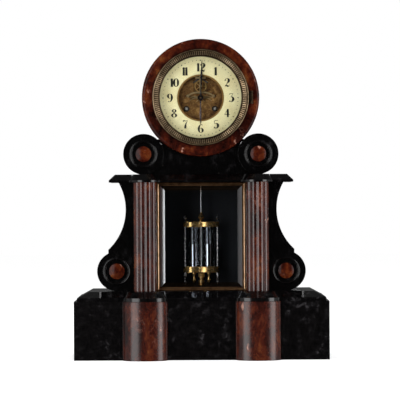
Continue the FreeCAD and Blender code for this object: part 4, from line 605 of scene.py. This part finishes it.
def bevelledGlass():
    # a slab whose raised face is ground back in a wide, shallow bevel
    s = {"bevel": 0.007, "rise": 0.0013, "edge": 0.0003, "border": 0.0021, "sunk": 0.0002, "sharp": 2,
         "bevelFaces": (-0.9995, -0.9)}
    low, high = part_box("front_glass")
    face = low.y + s["sunk"]
    rows = [(0.0, high.y), (0.0, face + s["rise"] + s["edge"]), (s["border"], face + s["rise"] + s["edge"]),
            (s["border"], face + s["rise"]), (s["border"] + s["bevel"], face)]
    points, last = framed(rows, low, high), 4 * (len(rows) - 1)
    faces = skin(len(rows), 4) + [(last, last + 1, last + 2, last + 3), (3, 2, 1, 0)]
    mesh = solidPiece("frontGlassBevelled", points, faces, plateGlass, "case", "glass", ("front_glass",), s["sharp"])
    mesh.materials.append(groundGlass)
    mesh.materials.append(bevelPaintedReflection)  # painted reflection: the level bevels are tinted brown for the frame strips they mirror
    for face in mesh.polygons:
        if s["bevelFaces"][0] < face.normal.y < s["bevelFaces"][1]:
            face.material_index = 1 if abs(face.normal.x) > abs(face.normal.z) else 2


bevelledGlass()
print("front glass done")


# Bezel: the turned ring, its hinge knuckle, and the milled slope

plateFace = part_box("escape_bridge")[1].y  # the sunk plate, where the bridge stands
dialCentre = Vector((0.0, dialFront, dialZ))

bezelSizes = {"outer": 0.076, "back": -0.0334, "bead": 0.0034, "beadTop": -0.0396, "valley": 0.0726,
              "valleyDepth": -0.0386, "crest": 0.0656, "crestDepth": -0.0418, "bore": 0.0636, "lipDepth": -0.0412,
              "glassDepth": -0.0396, "seat": 0.0663, "slopeSwell": -0.0003, "lipSwell": -0.0005, "beadSteps": 10,
              "swellSteps": 5, "turns": 200}


def turnedBezel():
    s = bezelSizes
    beadFoot, beadInside = s["beadTop"] + s["bead"] / 2, s["outer"] - s["bead"]
    valley, crest = (s["valley"], s["valleyDepth"]), (s["crest"], s["crestDepth"])
    lip = (s["bore"], s["lipDepth"])
    profile = [(s["outer"], s["back"]), (s["outer"], beadFoot)]
    profile += roundTo(profile[-1], (beadInside, beadFoot), -s["bead"] / 2, s["beadSteps"])
    profile += [(beadInside, beadFoot), valley] + roundTo(valley, crest, s["slopeSwell"], s["swellSteps"])
    profile += [crest] + roundTo(crest, lip, s["lipSwell"], s["swellSteps"])
    profile += [lip, (s["bore"], s["glassDepth"]), (s["seat"], s["glassDepth"]), (s["seat"], s["back"])]
    return lathed("bezelTurned", profile, dialCentre, "Y", s["turns"])


addPiece("bezelTurned", turnedBezel(), bezelPaintedShade, "bezel_door", "dark_brass", ("bezel",), 40)


def bezelKnuckle():
    # the hinge barrel with a groove at each end, and the ear that ties it to the bezel
    s = {"x": 0.08, "y": -0.0345, "half": 0.0056, "radius": 0.0022, "groove": 0.0004, "bore": 0.0009, "sides": 28,
         "earX": (0.0745, 0.0788), "earY": (-0.0366, -0.0346)}
    low, high = dialZ - s["half"], dialZ + s["half"]
    neck = s["radius"] - s["groove"]
    profile = [(s["bore"], low), (neck, low), (s["radius"], low + s["groove"]), (s["radius"], high - s["groove"]),
               (neck, high), (s["bore"], high)]
    (left, right), (front, back) = s["earX"], s["earY"]

    def eared(shape):
        for vert in bmesh.ops.create_cube(shape, size=1.0)["verts"]:
            vert.co = Vector((left + (right - left) * (vert.co.x + 0.5), front + (back - front) * (vert.co.y + 0.5),
                              dialZ + 2 * s["half"] * vert.co.z))

    return reshaped(lathed("bezelKnuckle", profile, Vector((s["x"], s["y"], 0)), "Z", s["sides"]), eared)


addPiece("bezelKnuckle", bezelKnuckle(), bezelPaintedShade, "bezel_door", "dark_brass")


def grown(name, build, inputs, turn, centre, material, body, slot):
    # runs a geometry tree on an empty mesh and makes a piece of the plain mesh that comes out
    tree = bpy.data.node_groups.new(name + "Tree", "GeometryNodeTree")
    tree.interface.new_socket(name="Geometry", in_out="OUTPUT", socket_type="NodeSocketGeometry")
    kinds, keys = {int: "NodeSocketInt", float: "NodeSocketFloat"}, {}
    inputs = {**inputs, "Finish": material}
    for label, value in inputs.items():
        kind = kinds.get(type(value), "NodeSocketMaterial")
        keys[label] = tree.interface.new_socket(name=label, in_out="INPUT", socket_type=kind).identifier
    start = Wire(tree)
    entry = start.make("NodeGroupInput").socket.node
    wires = {label: Wire(tree, entry.outputs[label]) for label in inputs}
    copies = build(start, wires)
    real = start.make("GeometryNodeRealizeInstances", {0: copies})
    dressed = start.make("GeometryNodeSetMaterial", {"Geometry": real, "Material": wires["Finish"]})
    start.make("NodeGroupOutput", {0: dressed})
    holder = held(name + "Holder", bpy.data.meshes.new(name + "Start"))
    grow = holder.modifiers.new("grow", "NODES")
    grow.node_group = tree
    for label, value in inputs.items():
        grow[keys[label]] = value
    mesh = settled(holder)
    mesh.name = name
    for vert in mesh.vertices:
        x, y, z = vert.co
        vert.co = (Vector((x, -z, y)) if turn == "Y" else Vector((x, y, z))) + centre  # "Y" turns it to face -Y
    addPiece(name, mesh, material, body, slot)


def ringOf(start, wires, radius="Ring radius"):
    return start.make("GeometryNodeMeshCircle", {"Vertices": wires["Count"], "Radius": wires[radius]})


def discOf(start, wires, radius, depth):
    sizes = {"Vertices": wires["Sides"], "Radius": wires[radius], "Depth": wires[depth]}
    return start.make("GeometryNodeMeshCylinder", sizes, fill_type="NGON")


def onPoints(start, points, copies, **more):
    return start.make("GeometryNodeInstanceOnPoints", {"Points": points, "Instance": copies, **more})


def milledRibs(start, wires):
    # ribs on the points of a flat ring, each laid along the line that runs outwards and up
    away = start.vector("NORMALIZE", {0: start.make("GeometryNodeInputPosition")})
    lift = start.make("ShaderNodeCombineXYZ", {"Z": wires["Climb"]})
    along = start.vector("ADD", {0: start.vector("SCALE", {0: away, "Scale": wires["Run"]}), 1: lift})
    turn = start.make("FunctionNodeAlignRotationToVector", {"Vector": along}, axis="Z")
    return onPoints(start, ringOf(start, wires), discOf(start, wires, "Rib radius", "Rib length"), Rotation=turn)


milling = {"Count": 144, "Sides": 8, "Ring radius": 0.069, "Rib radius": 0.00075, "Rib length": 0.0064,
           "Run": 0.007, "Climb": -0.0032}
midSlope = (bezelSizes["crestDepth"] + bezelSizes["valleyDepth"]) / 2
grown("bezelMilling", milledRibs, milling, "Y", Vector((0, midSlope, dialZ)), bezelBrass, "bezel_door", "dark_brass")


def beadRow(start, wires):
    bead = start.make("GeometryNodeMeshIcoSphere", {"Radius": wires["Bead radius"], "Subdivisions": wires["Fine"]})
    return onPoints(start, ringOf(start, wires), bead)


beads = {"proud": 0.0002, "inputs": {"Count": 260, "Ring radius": 0.0723, "Bead radius": 0.00055, "Fine": 1}}
beadsAt = Vector((0, bezelSizes["valleyDepth"] - beads["proud"], dialZ))
grown("bezelBeads", beadRow, beads["inputs"], "Y", beadsAt, bezelBrass, "bezel_door", "dark_brass")


def wireRing(name, radius, depth, thickness):
    # a rounded wire laid round the bezel
    sides = 10
    profile = [(radius + thickness * math.cos(2 * math.pi * k / sides),
                depth + thickness * math.sin(2 * math.pi * k / sides)) for k in range(sides)]
    mesh = lathed(name, profile, dialCentre, "Y", bezelSizes["turns"])
    addPiece(name, mesh, bezelBrass, "bezel_door", "dark_brass")


wireRing("bezelOuterWire", radius=0.0743, depth=-0.0389, thickness=0.0009)
wireRing("bezelInnerWire", radius=0.0648, depth=-0.0414, thickness=0.0005)
print("bezel done")


# Dial: numerals, minute track, hands

def minuteDots(start, wires):
    # every fifth dot is larger
    within = start.math("MODULO", start.make("GeometryNodeInputIndex"), 5.0)
    size = 1.0 + (within < 0.5) * wires["Hour growth"]
    scale = start.make("ShaderNodeCombineXYZ", {"X": size, "Y": size, "Z": 1.0})
    dot = discOf(start, wires, "Dot radius", "Paint")
    return onPoints(start, ringOf(start, wires, "Track radius"), dot, Scale=scale)


track = {"Count": 60, "Sides": 10, "Track radius": 0.0589, "Dot radius": 0.00058, "Paint": 0.00012,
         "Hour growth": 0.6}
grown("minuteTrack", minuteDots, track, "Y", dialCentre, dialPaint, "case", "enamel")

# Each figure is a few strokes; a stroke is a row of (across, up, half width), all as shares of the height
figureShares = {
    "0": [[(0.0, 1.0, 0.025), (0.2, 0.8, 0.07), (0.24, 0.5, 0.095), (0.2, 0.2, 0.07), (0.0, 0.0, 0.025),
           (-0.2, 0.2, 0.07), (-0.24, 0.5, 0.095), (-0.2, 0.8, 0.07), (0.0, 1.0, 0.025)]],
    "1": [[(0.0, 0.0, 0.095), (0.0, 0.5, 0.09), (0.0, 1.0, 0.085)], [(-0.17, 0.8, 0.02), (-0.02, 0.98, 0.05)],
          [(-0.16, 0.01, 0.02), (0.16, 0.01, 0.02)]],
    "2": [[(-0.19, 0.72, 0.085), (-0.2, 0.86, 0.035), (0.0, 0.99, 0.025), (0.2, 0.86, 0.085), (0.2, 0.64, 0.09),
           (0.0, 0.36, 0.04), (-0.25, 0.05, 0.025)],
          [(-0.26, 0.03, 0.03), (-0.08, 0.12, 0.06), (0.12, 0.04, 0.07), (0.26, 0.1, 0.025), (0.28, 0.24, 0.018)]],
    "3": [[(-0.2, 0.86, 0.02), (-0.19, 0.97, 0.03), (0.22, 0.97, 0.025), (-0.04, 0.6, 0.022)],
          [(-0.04, 0.6, 0.022), (0.18, 0.54, 0.06), (0.25, 0.3, 0.1), (0.12, 0.05, 0.05), (-0.06, 0.0, 0.025),
           (-0.22, 0.12, 0.075)]],
    "4": [[(0.08, 0.0, 0.06), (0.08, 0.5, 0.09), (0.08, 1.0, 0.07)], [(0.06, 0.98, 0.025), (-0.3, 0.32, 0.022)],
          [(-0.32, 0.31, 0.035), (0.08, 0.31, 0.035), (0.32, 0.31, 0.035)],
          [(-0.04, 0.01, 0.02), (0.2, 0.01, 0.02)]],
    "5": [[(0.24, 0.97, 0.022), (-0.14, 0.95, 0.035), (-0.18, 0.56, 0.022)],
          [(-0.18, 0.54, 0.022), (0.02, 0.62, 0.04), (0.22, 0.46, 0.095), (0.22, 0.2, 0.09), (0.0, 0.0, 0.025),
           (-0.22, 0.12, 0.075)]],
    "6": [[(0.2, 0.9, 0.05), (0.04, 0.99, 0.022), (-0.16, 0.78, 0.06), (-0.24, 0.42, 0.09), (-0.16, 0.1, 0.055),
           (0.02, 0.0, 0.022), (0.21, 0.14, 0.07), (0.22, 0.36, 0.085), (0.04, 0.56, 0.022), (-0.18, 0.42, 0.03)]],
    "7": [[(-0.24, 0.8, 0.018), (-0.22, 0.95, 0.05), (0.02, 0.93, 0.04), (0.26, 0.98, 0.022)],
          [(0.25, 0.96, 0.022), (0.06, 0.55, 0.05), (0.0, 0.22, 0.09), (0.0, 0.0, 0.075)]],
    "8": [[(0.0, 1.0, 0.022), (0.18, 0.8, 0.075), (0.0, 0.54, 0.035), (-0.25, 0.24, 0.085), (0.0, 0.0, 0.022),
           (0.25, 0.24, 0.085), (0.0, 0.54, 0.035), (-0.18, 0.8, 0.075), (0.0, 1.0, 0.022)]],
}
figureShares["9"] = [[(-x, 1 - z, half) for x, z, half in stroke] for stroke in figureShares["6"]]


def smoothed(stroke, steps):
    # passes a soft curve through a stroke's points
    if len(stroke) == 2:
        return stroke
    closed = stroke[0] == stroke[-1]
    made = []
    for k in range(len(stroke) - 1):
        before = stroke[k - 1] if k > 0 else (stroke[-2] if closed else stroke[0])
        after = stroke[k + 2] if k + 2 < len(stroke) else (stroke[1] if closed else stroke[-1])
        a, b = stroke[k], stroke[k + 1]
        for step in range(steps):
            t = step / steps
            made.append(tuple(0.5 * (2 * a[i] + (b[i] - before[i]) * t
                              + (2 * before[i] - 5 * a[i] + 4 * b[i] - after[i]) * t * t
                              + (3 * a[i] - before[i] - 3 * b[i] + after[i]) * t ** 3) for i in range(3)))
    made.append(stroke[-1])
    return made


def brushed(stroke, height, centre, front, thick, points, faces):
    # one stroke of paint as a thin closed solid, facing -Y
    path = smoothed(stroke, 7)
    start = len(points)
    for k, (x, z, half) in enumerate(path):
        ahead, behind = path[min(k + 1, len(path) - 1)], path[max(k - 1, 0)]
        dx, dz = ahead[0] - behind[0], ahead[1] - behind[1]
        length = math.hypot(dx, dz) or 1.0
        nx, nz = -dz / length * half, dx / length * half
        for side, y in ((1, front), (-1, front), (-1, front + thick), (1, front + thick)):
            points.append((centre[0] + (x + side * nx) * height, y, centre[1] + (z - 0.5 + side * nz) * height))
    faces += skin(len(path), 4, start)
    last = start + 4 * (len(path) - 1)
    faces += [(start + 3, start + 2, start + 1, start), (last, last + 1, last + 2, last + 3)]


def numerals():
    s = {"radius": 0.048, "height": 0.0127, "pair": 0.52, "closePair": 0.3224, "paint": 0.00014, "proud": 0.00006,
         "weight": 1.5, "thinStroke": 0.045, "sharp": 20}
    points, faces = [], []
    for hour in range(1, 13):
        angle = math.radians(90 - 30 * hour)
        x, z = s["radius"] * math.cos(angle), dialZ + s["radius"] * math.sin(angle)
        figures = str(hour)
        for k, figure in enumerate(figures):
            spread = s["closePair"] if figures == "11" else s["pair"]
            across = (k - (len(figures) - 1) / 2) * spread * s["height"]
            for stroke in figureShares[figure]:
                heavy = [(a, b, half * s["weight"] if half > s["thinStroke"] else half) for a, b, half in stroke]
                brushed(heavy, s["height"], (x + across, z), dialFront - s["proud"], s["paint"], points, faces)
    solidPiece("numerals", points, faces, dialPaint, "case", "enamel", (), s["sharp"])


numerals()


def crescentArms():
    # the two curved cocks that spread from the centre, with their short feet; millimetres from the centre
    s = {"thick": 0.0012, "lift": 0.0005, "unit": 0.001, "sharp": 20, "strokes": [
        [(3.6, 0.8, 0.9), (9.0, 2.6, 0.9), (15.0, 1.8, 0.7), (19.0, 1.2, 0.6), (22.0, 2.9, 0.9)],
        [(3.8, -0.6, 0.7), (9.0, 0.2, 0.8), (14.0, -1.8, 0.6), (17.5, -4.6, 0.4)],
        [(3.4, -2.2, 0.5), (4.6, -3.6, 0.8), (6.2, -5.4, 0.5)],
    ]}
    points, faces = [], []
    for stroke in s["strokes"]:
        for side in (-1, 1):
            laid = [(side * x, z, half) for x, z, half in stroke]
            brushed(laid, s["unit"], (0.0, dialZ + s["lift"]), plateFace - s["thick"], s["thick"], points, faces)
    solidPiece("crescentArms", points, faces, bridgeBrass, "case", "brass", (), s["sharp"])


crescentArms()


def plateScrews(start, wires):
    # slotted screw heads in a row: a disc with a bar cut across it
    pitch = start.make("ShaderNodeCombineXYZ", {"X": wires["Pitch"]})
    row = start.make("GeometryNodeMeshLine", {"Count": wires["Count"], "Offset": pitch}, mode="OFFSET")
    size = start.make("ShaderNodeCombineXYZ", {
        "X": wires["Head radius"] * wires["Slot reach"], "Y": wires["Slot width"], "Z": wires["Head height"]})
    lift = start.make("ShaderNodeCombineXYZ", {"Z": wires["Head height"] * wires["Slot lift"]})
    slot = start.make("GeometryNodeMeshCube", {"Size": size})
    sunk = start.make("GeometryNodeTransform", {"Geometry": slot, "Translation": lift})
    head = discOf(start, wires, "Head radius", "Head height")
    cut = start.make("GeometryNodeMeshBoolean", {"Mesh 1": head, "Mesh 2": sunk}, operation="DIFFERENCE",
                     solver="EXACT")
    return onPoints(start, row, cut)


screws = {"proud": 0.0015, "up": 0.0034, "inputs": {
    "Count": 2, "Sides": 20, "Pitch": 0.044, "Head radius": 0.0017, "Head height": 0.001, "Slot width": 0.0005,
    "Slot reach": 2.4, "Slot lift": 0.6}}
firstScrew = Vector((-screws["inputs"]["Pitch"] / 2, plateFace - screws["proud"], dialZ + screws["up"]))
grown("cockScrews", plateScrews, screws["inputs"], "Y", firstScrew, blueSteel, "case", "blued_steel")


def windingEyelets():
    # painted shade: near-black collars round the two winding squares stand for the dark of the winding holes
    s = {"across": 0.0223, "down": 0.0167, "bore": 0.0027, "rim": 0.0046, "proud": 0.0007, "turns": 48}
    profile = [(s["bore"], plateFace), (s["rim"], plateFace), (s["rim"], plateFace - s["proud"] * 0.4),
               (s["rim"] * 0.85, plateFace - s["proud"]), (s["bore"] * 1.15, plateFace - s["proud"] * 0.8)]
    points, faces = [], []
    for side in (-1, 1):
        centre = Vector((side * s["across"], 0, dialZ - s["down"]))
        takeIn(points, faces, lathed("holeShadeRing", profile, centre, "Y", s["turns"]))
    solidPiece("windingEyelets", points, faces, holeShadePaint, "case", "black_iron")


windingEyelets()
print("dial done")


def ridgedHand(name, node, length, boss, degrees, tail, body, material):
    # a slender leaf with a ridge down its middle and a domed boss
    s = {"root": 0.0026, "belly": 0.0034, "tip": 0.0007, "edge": 0.00035, "ridge": 0.0004, "bossEdge": 0.0004,
         "boreShare": 0.55, "domeShare": 0.85, "bossSides": 40, "sharp": 15}
    low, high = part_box(node)
    front, back = low.y, high.y
    rows = [(-tail, s["root"] * 0.8), (-boss * 0.4, s["root"])] if tail else []
    rows += [(boss * 0.4, s["root"]), (length * 0.3, s["root"] * 0.72), (length * 0.62, s["belly"]),
             (length * 0.86, s["belly"] * 0.55), (length, s["tip"])]  # each is how far along, and how wide
    points = []
    for along, width in rows:
        half, edge = width / 2, back - s["edge"]
        points += [(-half, back, along), (-half, edge, along), (0.0, edge - s["ridge"], along), (half, edge, along),
                   (half, back, along)]
    faces = skin(len(rows), 5) + [(0, 1, 2, 3, 4), tuple(len(points) - k for k in (1, 2, 3, 4, 5))]
    turn = math.radians(degrees)
    points = [(x * math.cos(turn) + z * math.sin(turn), y, dialZ - x * math.sin(turn) + z * math.cos(turn))
              for x, y, z in points]
    bore, dome = boss * s["boreShare"], boss * s["domeShare"]
    ring = [(bore, back), (boss, back), (boss, back - s["bossEdge"]), (dome, front), (bore, front)]
    takeIn(points, faces, lathed(name + "Boss", ring, dialCentre, "Y", s["bossSides"]))
    solidPiece(name, points, faces, material, body, "blued_steel", (node,), s["sharp"])


ridgedHand("hourHandLeaf", "hour_hand", length=0.042, boss=0.0046, degrees=180.2, tail=0.0, body="hour_work",
           material=hourSteel)
ridgedHand("minuteHandLeaf", "minute_hand", length=0.059, boss=0.0039, degrees=2.5, tail=0.009, body="minute_work",
           material=blueSteel)
print("hands done")


# The CAD shapes that stay as they are: the movement, the pendulum and the rest

finishes = {
    baseSlate: ("base_carcass",),
    bossMarble: ("console_boss_left", "console_boss_right", "roll_boss_left", "roll_boss_right"),
    bezelPaintedShade: ("bezel_seat",),
    bezelClear: ("bezel_glass",),
    dialEnamel: ("chapter_ring",),
    dialGilding: ("dial_centre",),
    hourSteel: ("hand_collet",),
    plateBrass: ("front_plate", "back_plate", "going_barrel", "strike_barrel", "rear_ring", "rear_cover",
                 "centre_wheel", "third_wheel", "intermediate_wheel", "minute_wheel", "hour_wheel"),
    clockBrass: ("escape_wheel", "suspension_cock", "rating_nut", "bell"),
    bobBrass: ("bob_top_band", "bob_cradle"),
    bridgeBrass: ("escape_bridge",),
    pendulumRod: ("pendulum_rod",),
    squareSteel: ("going_arbor", "strike_arbor"),
    brightSteel: ("cannon_pinion", "anchor", "crutch", "suspension_spring", "hammer"),
    blueSteel: ("strap_screws",),
    vialGlass: ("vial_left", "vial_right"),
    mercuryShine: ("mercury",),
    blackIron: ("rear_door",),
}
for material, names in finishes.items():
    for name in names:
        wear(nodes[name], material)


def bobBelts():
    # sheaths round the two bands, swelling in front of each vial and behind it
    s = {"radius": 0.0098, "halfWidth": 0.02875, "wall": 0.0003, "bite": 0.0001, "vialX": 0.0118, "reach": 0.0112,
         "swell": 0.0026, "chamfer": 0.0004, "inset": 0.0004, "straightSteps": 48, "roundSteps": 16, "sharp": 20}
    straight = s["halfWidth"] - s["radius"]
    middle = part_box("bob_top_band")[1].y - s["radius"]
    bow = (s["reach"] ** 2 + s["swell"] ** 2) / (2 * s["swell"])

    def swelled(x):
        away = abs(abs(x) - s["vialX"])
        return math.sqrt(bow ** 2 - away ** 2) - (bow - s["swell"]) if away < s["reach"] else 0.0

    outline = []  # place and outward direction, once round from the front's left
    for side in (-1, 1):
        for k in range(s["straightSteps"]):
            outline.append((side * straight * (1 - 2 * k / s["straightSteps"]), side * s["radius"], 0.0, side))
        for k in range(s["roundSteps"]):
            turn = math.pi * (side / 2 + k / s["roundSteps"])
            outline.append((-side * straight + s["radius"] * math.cos(turn), s["radius"] * math.sin(turn),
                            math.cos(turn), math.sin(turn)))
    points, faces = [], []
    for bottom, top in bobBands:
        low, high = bottom + s["inset"], top - s["inset"]
        faces += skin(len(outline), 6, len(points), closed=True)
        for x, y, outX, outY in outline:
            full = s["wall"] + swelled(x)
            points += [(x + outX * out, middle + y + outY * out, z) for out, z in (
                (-s["bite"], low), (full - s["chamfer"], low), (full, low + s["chamfer"]),
                (full, high - s["chamfer"]), (full - s["chamfer"], high), (-s["bite"], high))]
    solidPiece("bobBelts", points, faces, bobBrass, "pendulum", "brass", (), s["sharp"])


bobBelts()


nutRibs = {"belowTop": 0.0041, "inputs": {
    "Count": 28, "Sides": 6, "Ring radius": 0.0049, "Rib radius": 0.00038, "Rib length": 0.005, "Run": 0.0,
    "Climb": 1.0}}
nutLow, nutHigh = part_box("rating_nut")
nutCentre = Vector(((nutLow.x + nutHigh.x) / 2, (nutLow.y + nutHigh.y) / 2, nutHigh.z - nutRibs["belowTop"]))
grown("nutKnurl", milledRibs, nutRibs["inputs"], "Z", nutCentre, clockBrass, "rating_nut", "brass")


def knobKnurl(name, node, x, y, radius, length, body, material, slot):
    # a knob's milled edge, at mid height of the door that carries it
    s = {"Count": 24, "Sides": 6, "Ring radius": radius, "Rib radius": 0.0004, "Rib length": length,
         "Run": 0.0, "Climb": 1.0}
    low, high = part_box(node)
    grown(name, milledRibs, s, "Y", Vector((x, y, (low.z + high.z) / 2)), material, body, slot)


knobKnurl("coverKnurl", "rear_cover", x=-0.046, y=0.0815, radius=0.003, length=0.003, body="back_cover",
          material=plateBrass, slot="brass")
knobKnurl("doorKnurl", "rear_door", x=-0.0575, y=0.079, radius=0.004, length=0.004, body="chamber_door",
          material=blackIron, slot="black_iron")
print("movement done")


# Stage, light and camera

def stageSheet():
    # a pale floor; the white of the room stands behind it from every side
    s = {"half": 6.0, "paper": (0.92, 0.92, 0.92, 1), "rough": 0.9, "glow": 0.42}
    corners = [(x * s["half"], y * s["half"], 0.0) for x, y in ((-1, -1), (1, -1), (1, 1), (-1, 1))]
    sheet = held("stageSheet", meshOf("stageSheet", corners, [(0, 1, 2, 3)]))
    wear(sheet, finished(blank("stagePaper")[0], s["paper"], s["rough"], gloss=0.0, glow=((1, 1, 1, 1), s["glow"])))
    sheet.visible_glossy = False


stageSheet()


def surround(name, radius, camera, glossy, lit):
    # a lit ball far round everything: one is the white of the room, the other what polished things mirror
    ball = held(name, reshaped(bpy.data.meshes.new(name), lambda shape: bmesh.ops.create_icosphere(
        shape, subdivisions=4, radius=radius)))
    material, place = blank(name + "Light", (1 / radius,) * 3)
    wear(ball, finished(material, (0, 0, 0, 1), 1.0, gloss=0.0, glow=(lit(place), 1.0)))
    ball.visible_camera, ball.visible_glossy = camera, glossy
    ball.visible_diffuse = ball.visible_shadow = ball.visible_transmission = False


def mirroredRoom(place):
    # dark where the camera stands, bright to the sides, dim overhead and behind
    s = {"front": 0.012, "side": 0.46, "back": 0.1, "overhead": 0.85, "dim": (0.3, 0.85),
         "ceiling": (0.02, 0.02, 0.02, 1)}
    depth, height = place.axis("Y") * 0.5 + 0.5, place.axis("Z").magnitude()
    glow = ramp(depth, [(0.0, s["front"]), (0.09, s["front"] * 1.3), (0.25, s["side"]), (0.52, s["side"]),
                        (0.66, s["side"] * 0.5), (0.78, s["back"])])
    return blendColour(level(height, *s["dim"]) * s["overhead"], glow, s["ceiling"])


surround("roomWhite", 9.0, camera=True, glossy=False, lit=lambda place: (1, 1, 1, 1))
surround("roomMirrored", 8.0, camera=False, glossy=True, lit=mirroredRoom)

roomGlow = 0.62
world = bpy.data.worlds.new("studio")
scene.world = world
world.use_nodes = True
background = world.node_tree.nodes["Background"]
background.inputs["Color"].default_value = (1, 1, 1, 1)
background.inputs["Strength"].default_value = roomGlow
world.cycles_visibility.glossy = world.cycles_visibility.camera = False

# Azimuth 0 is at the camera's side, 90 to the viewer's right; degrees, metres and watts
softboxes = {
    "leftBox": {"azimuth": -36.5, "elevation": 4, "distance": 1.5, "size": (0.72, 1.6), "power": 12.5},
    "rightBox": {"azimuth": 54, "elevation": 4, "distance": 1.5, "size": (0.66, 1.6), "power": 12.5},
    "topBox": {"azimuth": 0, "elevation": 76, "distance": 1.7, "size": (1.2, 0.8), "power": 7.0, "mirrored": False},
    "backLeft": {"azimuth": 150, "elevation": 2, "distance": 1.8, "size": (0.5, 0.9), "power": 6.0},
    "backRight": {"azimuth": -150, "elevation": 2, "distance": 1.8, "size": (0.5, 0.9), "power": 6.0},
}


def softbox(name, azimuth, elevation, distance, size, power, mirrored=True):
    aim = Vector((0, 0, 0.25))  # the clock's middle
    turn, climb = math.radians(azimuth), math.radians(elevation)
    place = Vector((math.sin(turn) * math.cos(climb), -math.cos(turn) * math.cos(climb), math.sin(climb))) * distance
    light = bpy.data.lights.new(name, "AREA")
    light.shape = "RECTANGLE"
    light.size, light.size_y = size
    light.energy = power
    holder = held(name, light)
    holder.location = place + aim
    holder.rotation_euler = (-place).to_track_quat("-Z", "Y").to_euler()
    holder.visible_glossy = mirrored


for name, settings in softboxes.items():
    softbox(name, **settings)

view = {"place": (-0.0017, -3.165, 0.2478), "lens": 180.4, "sensor": 36.0, "level": 90, "roll": 0.3, "far": 40.0}
camera = held("camera", bpy.data.cameras.new("camera"))
camera.data.sensor_width, camera.data.lens, camera.data.clip_end = view["sensor"], view["lens"], view["far"]
camera.location = view["place"]
camera.rotation_euler = (math.radians(view["level"]), math.radians(view["roll"]), 0)
scene.camera = camera
scene.view_settings.view_transform = "Standard"
scene.view_settings.look = "None"
print("stage done")
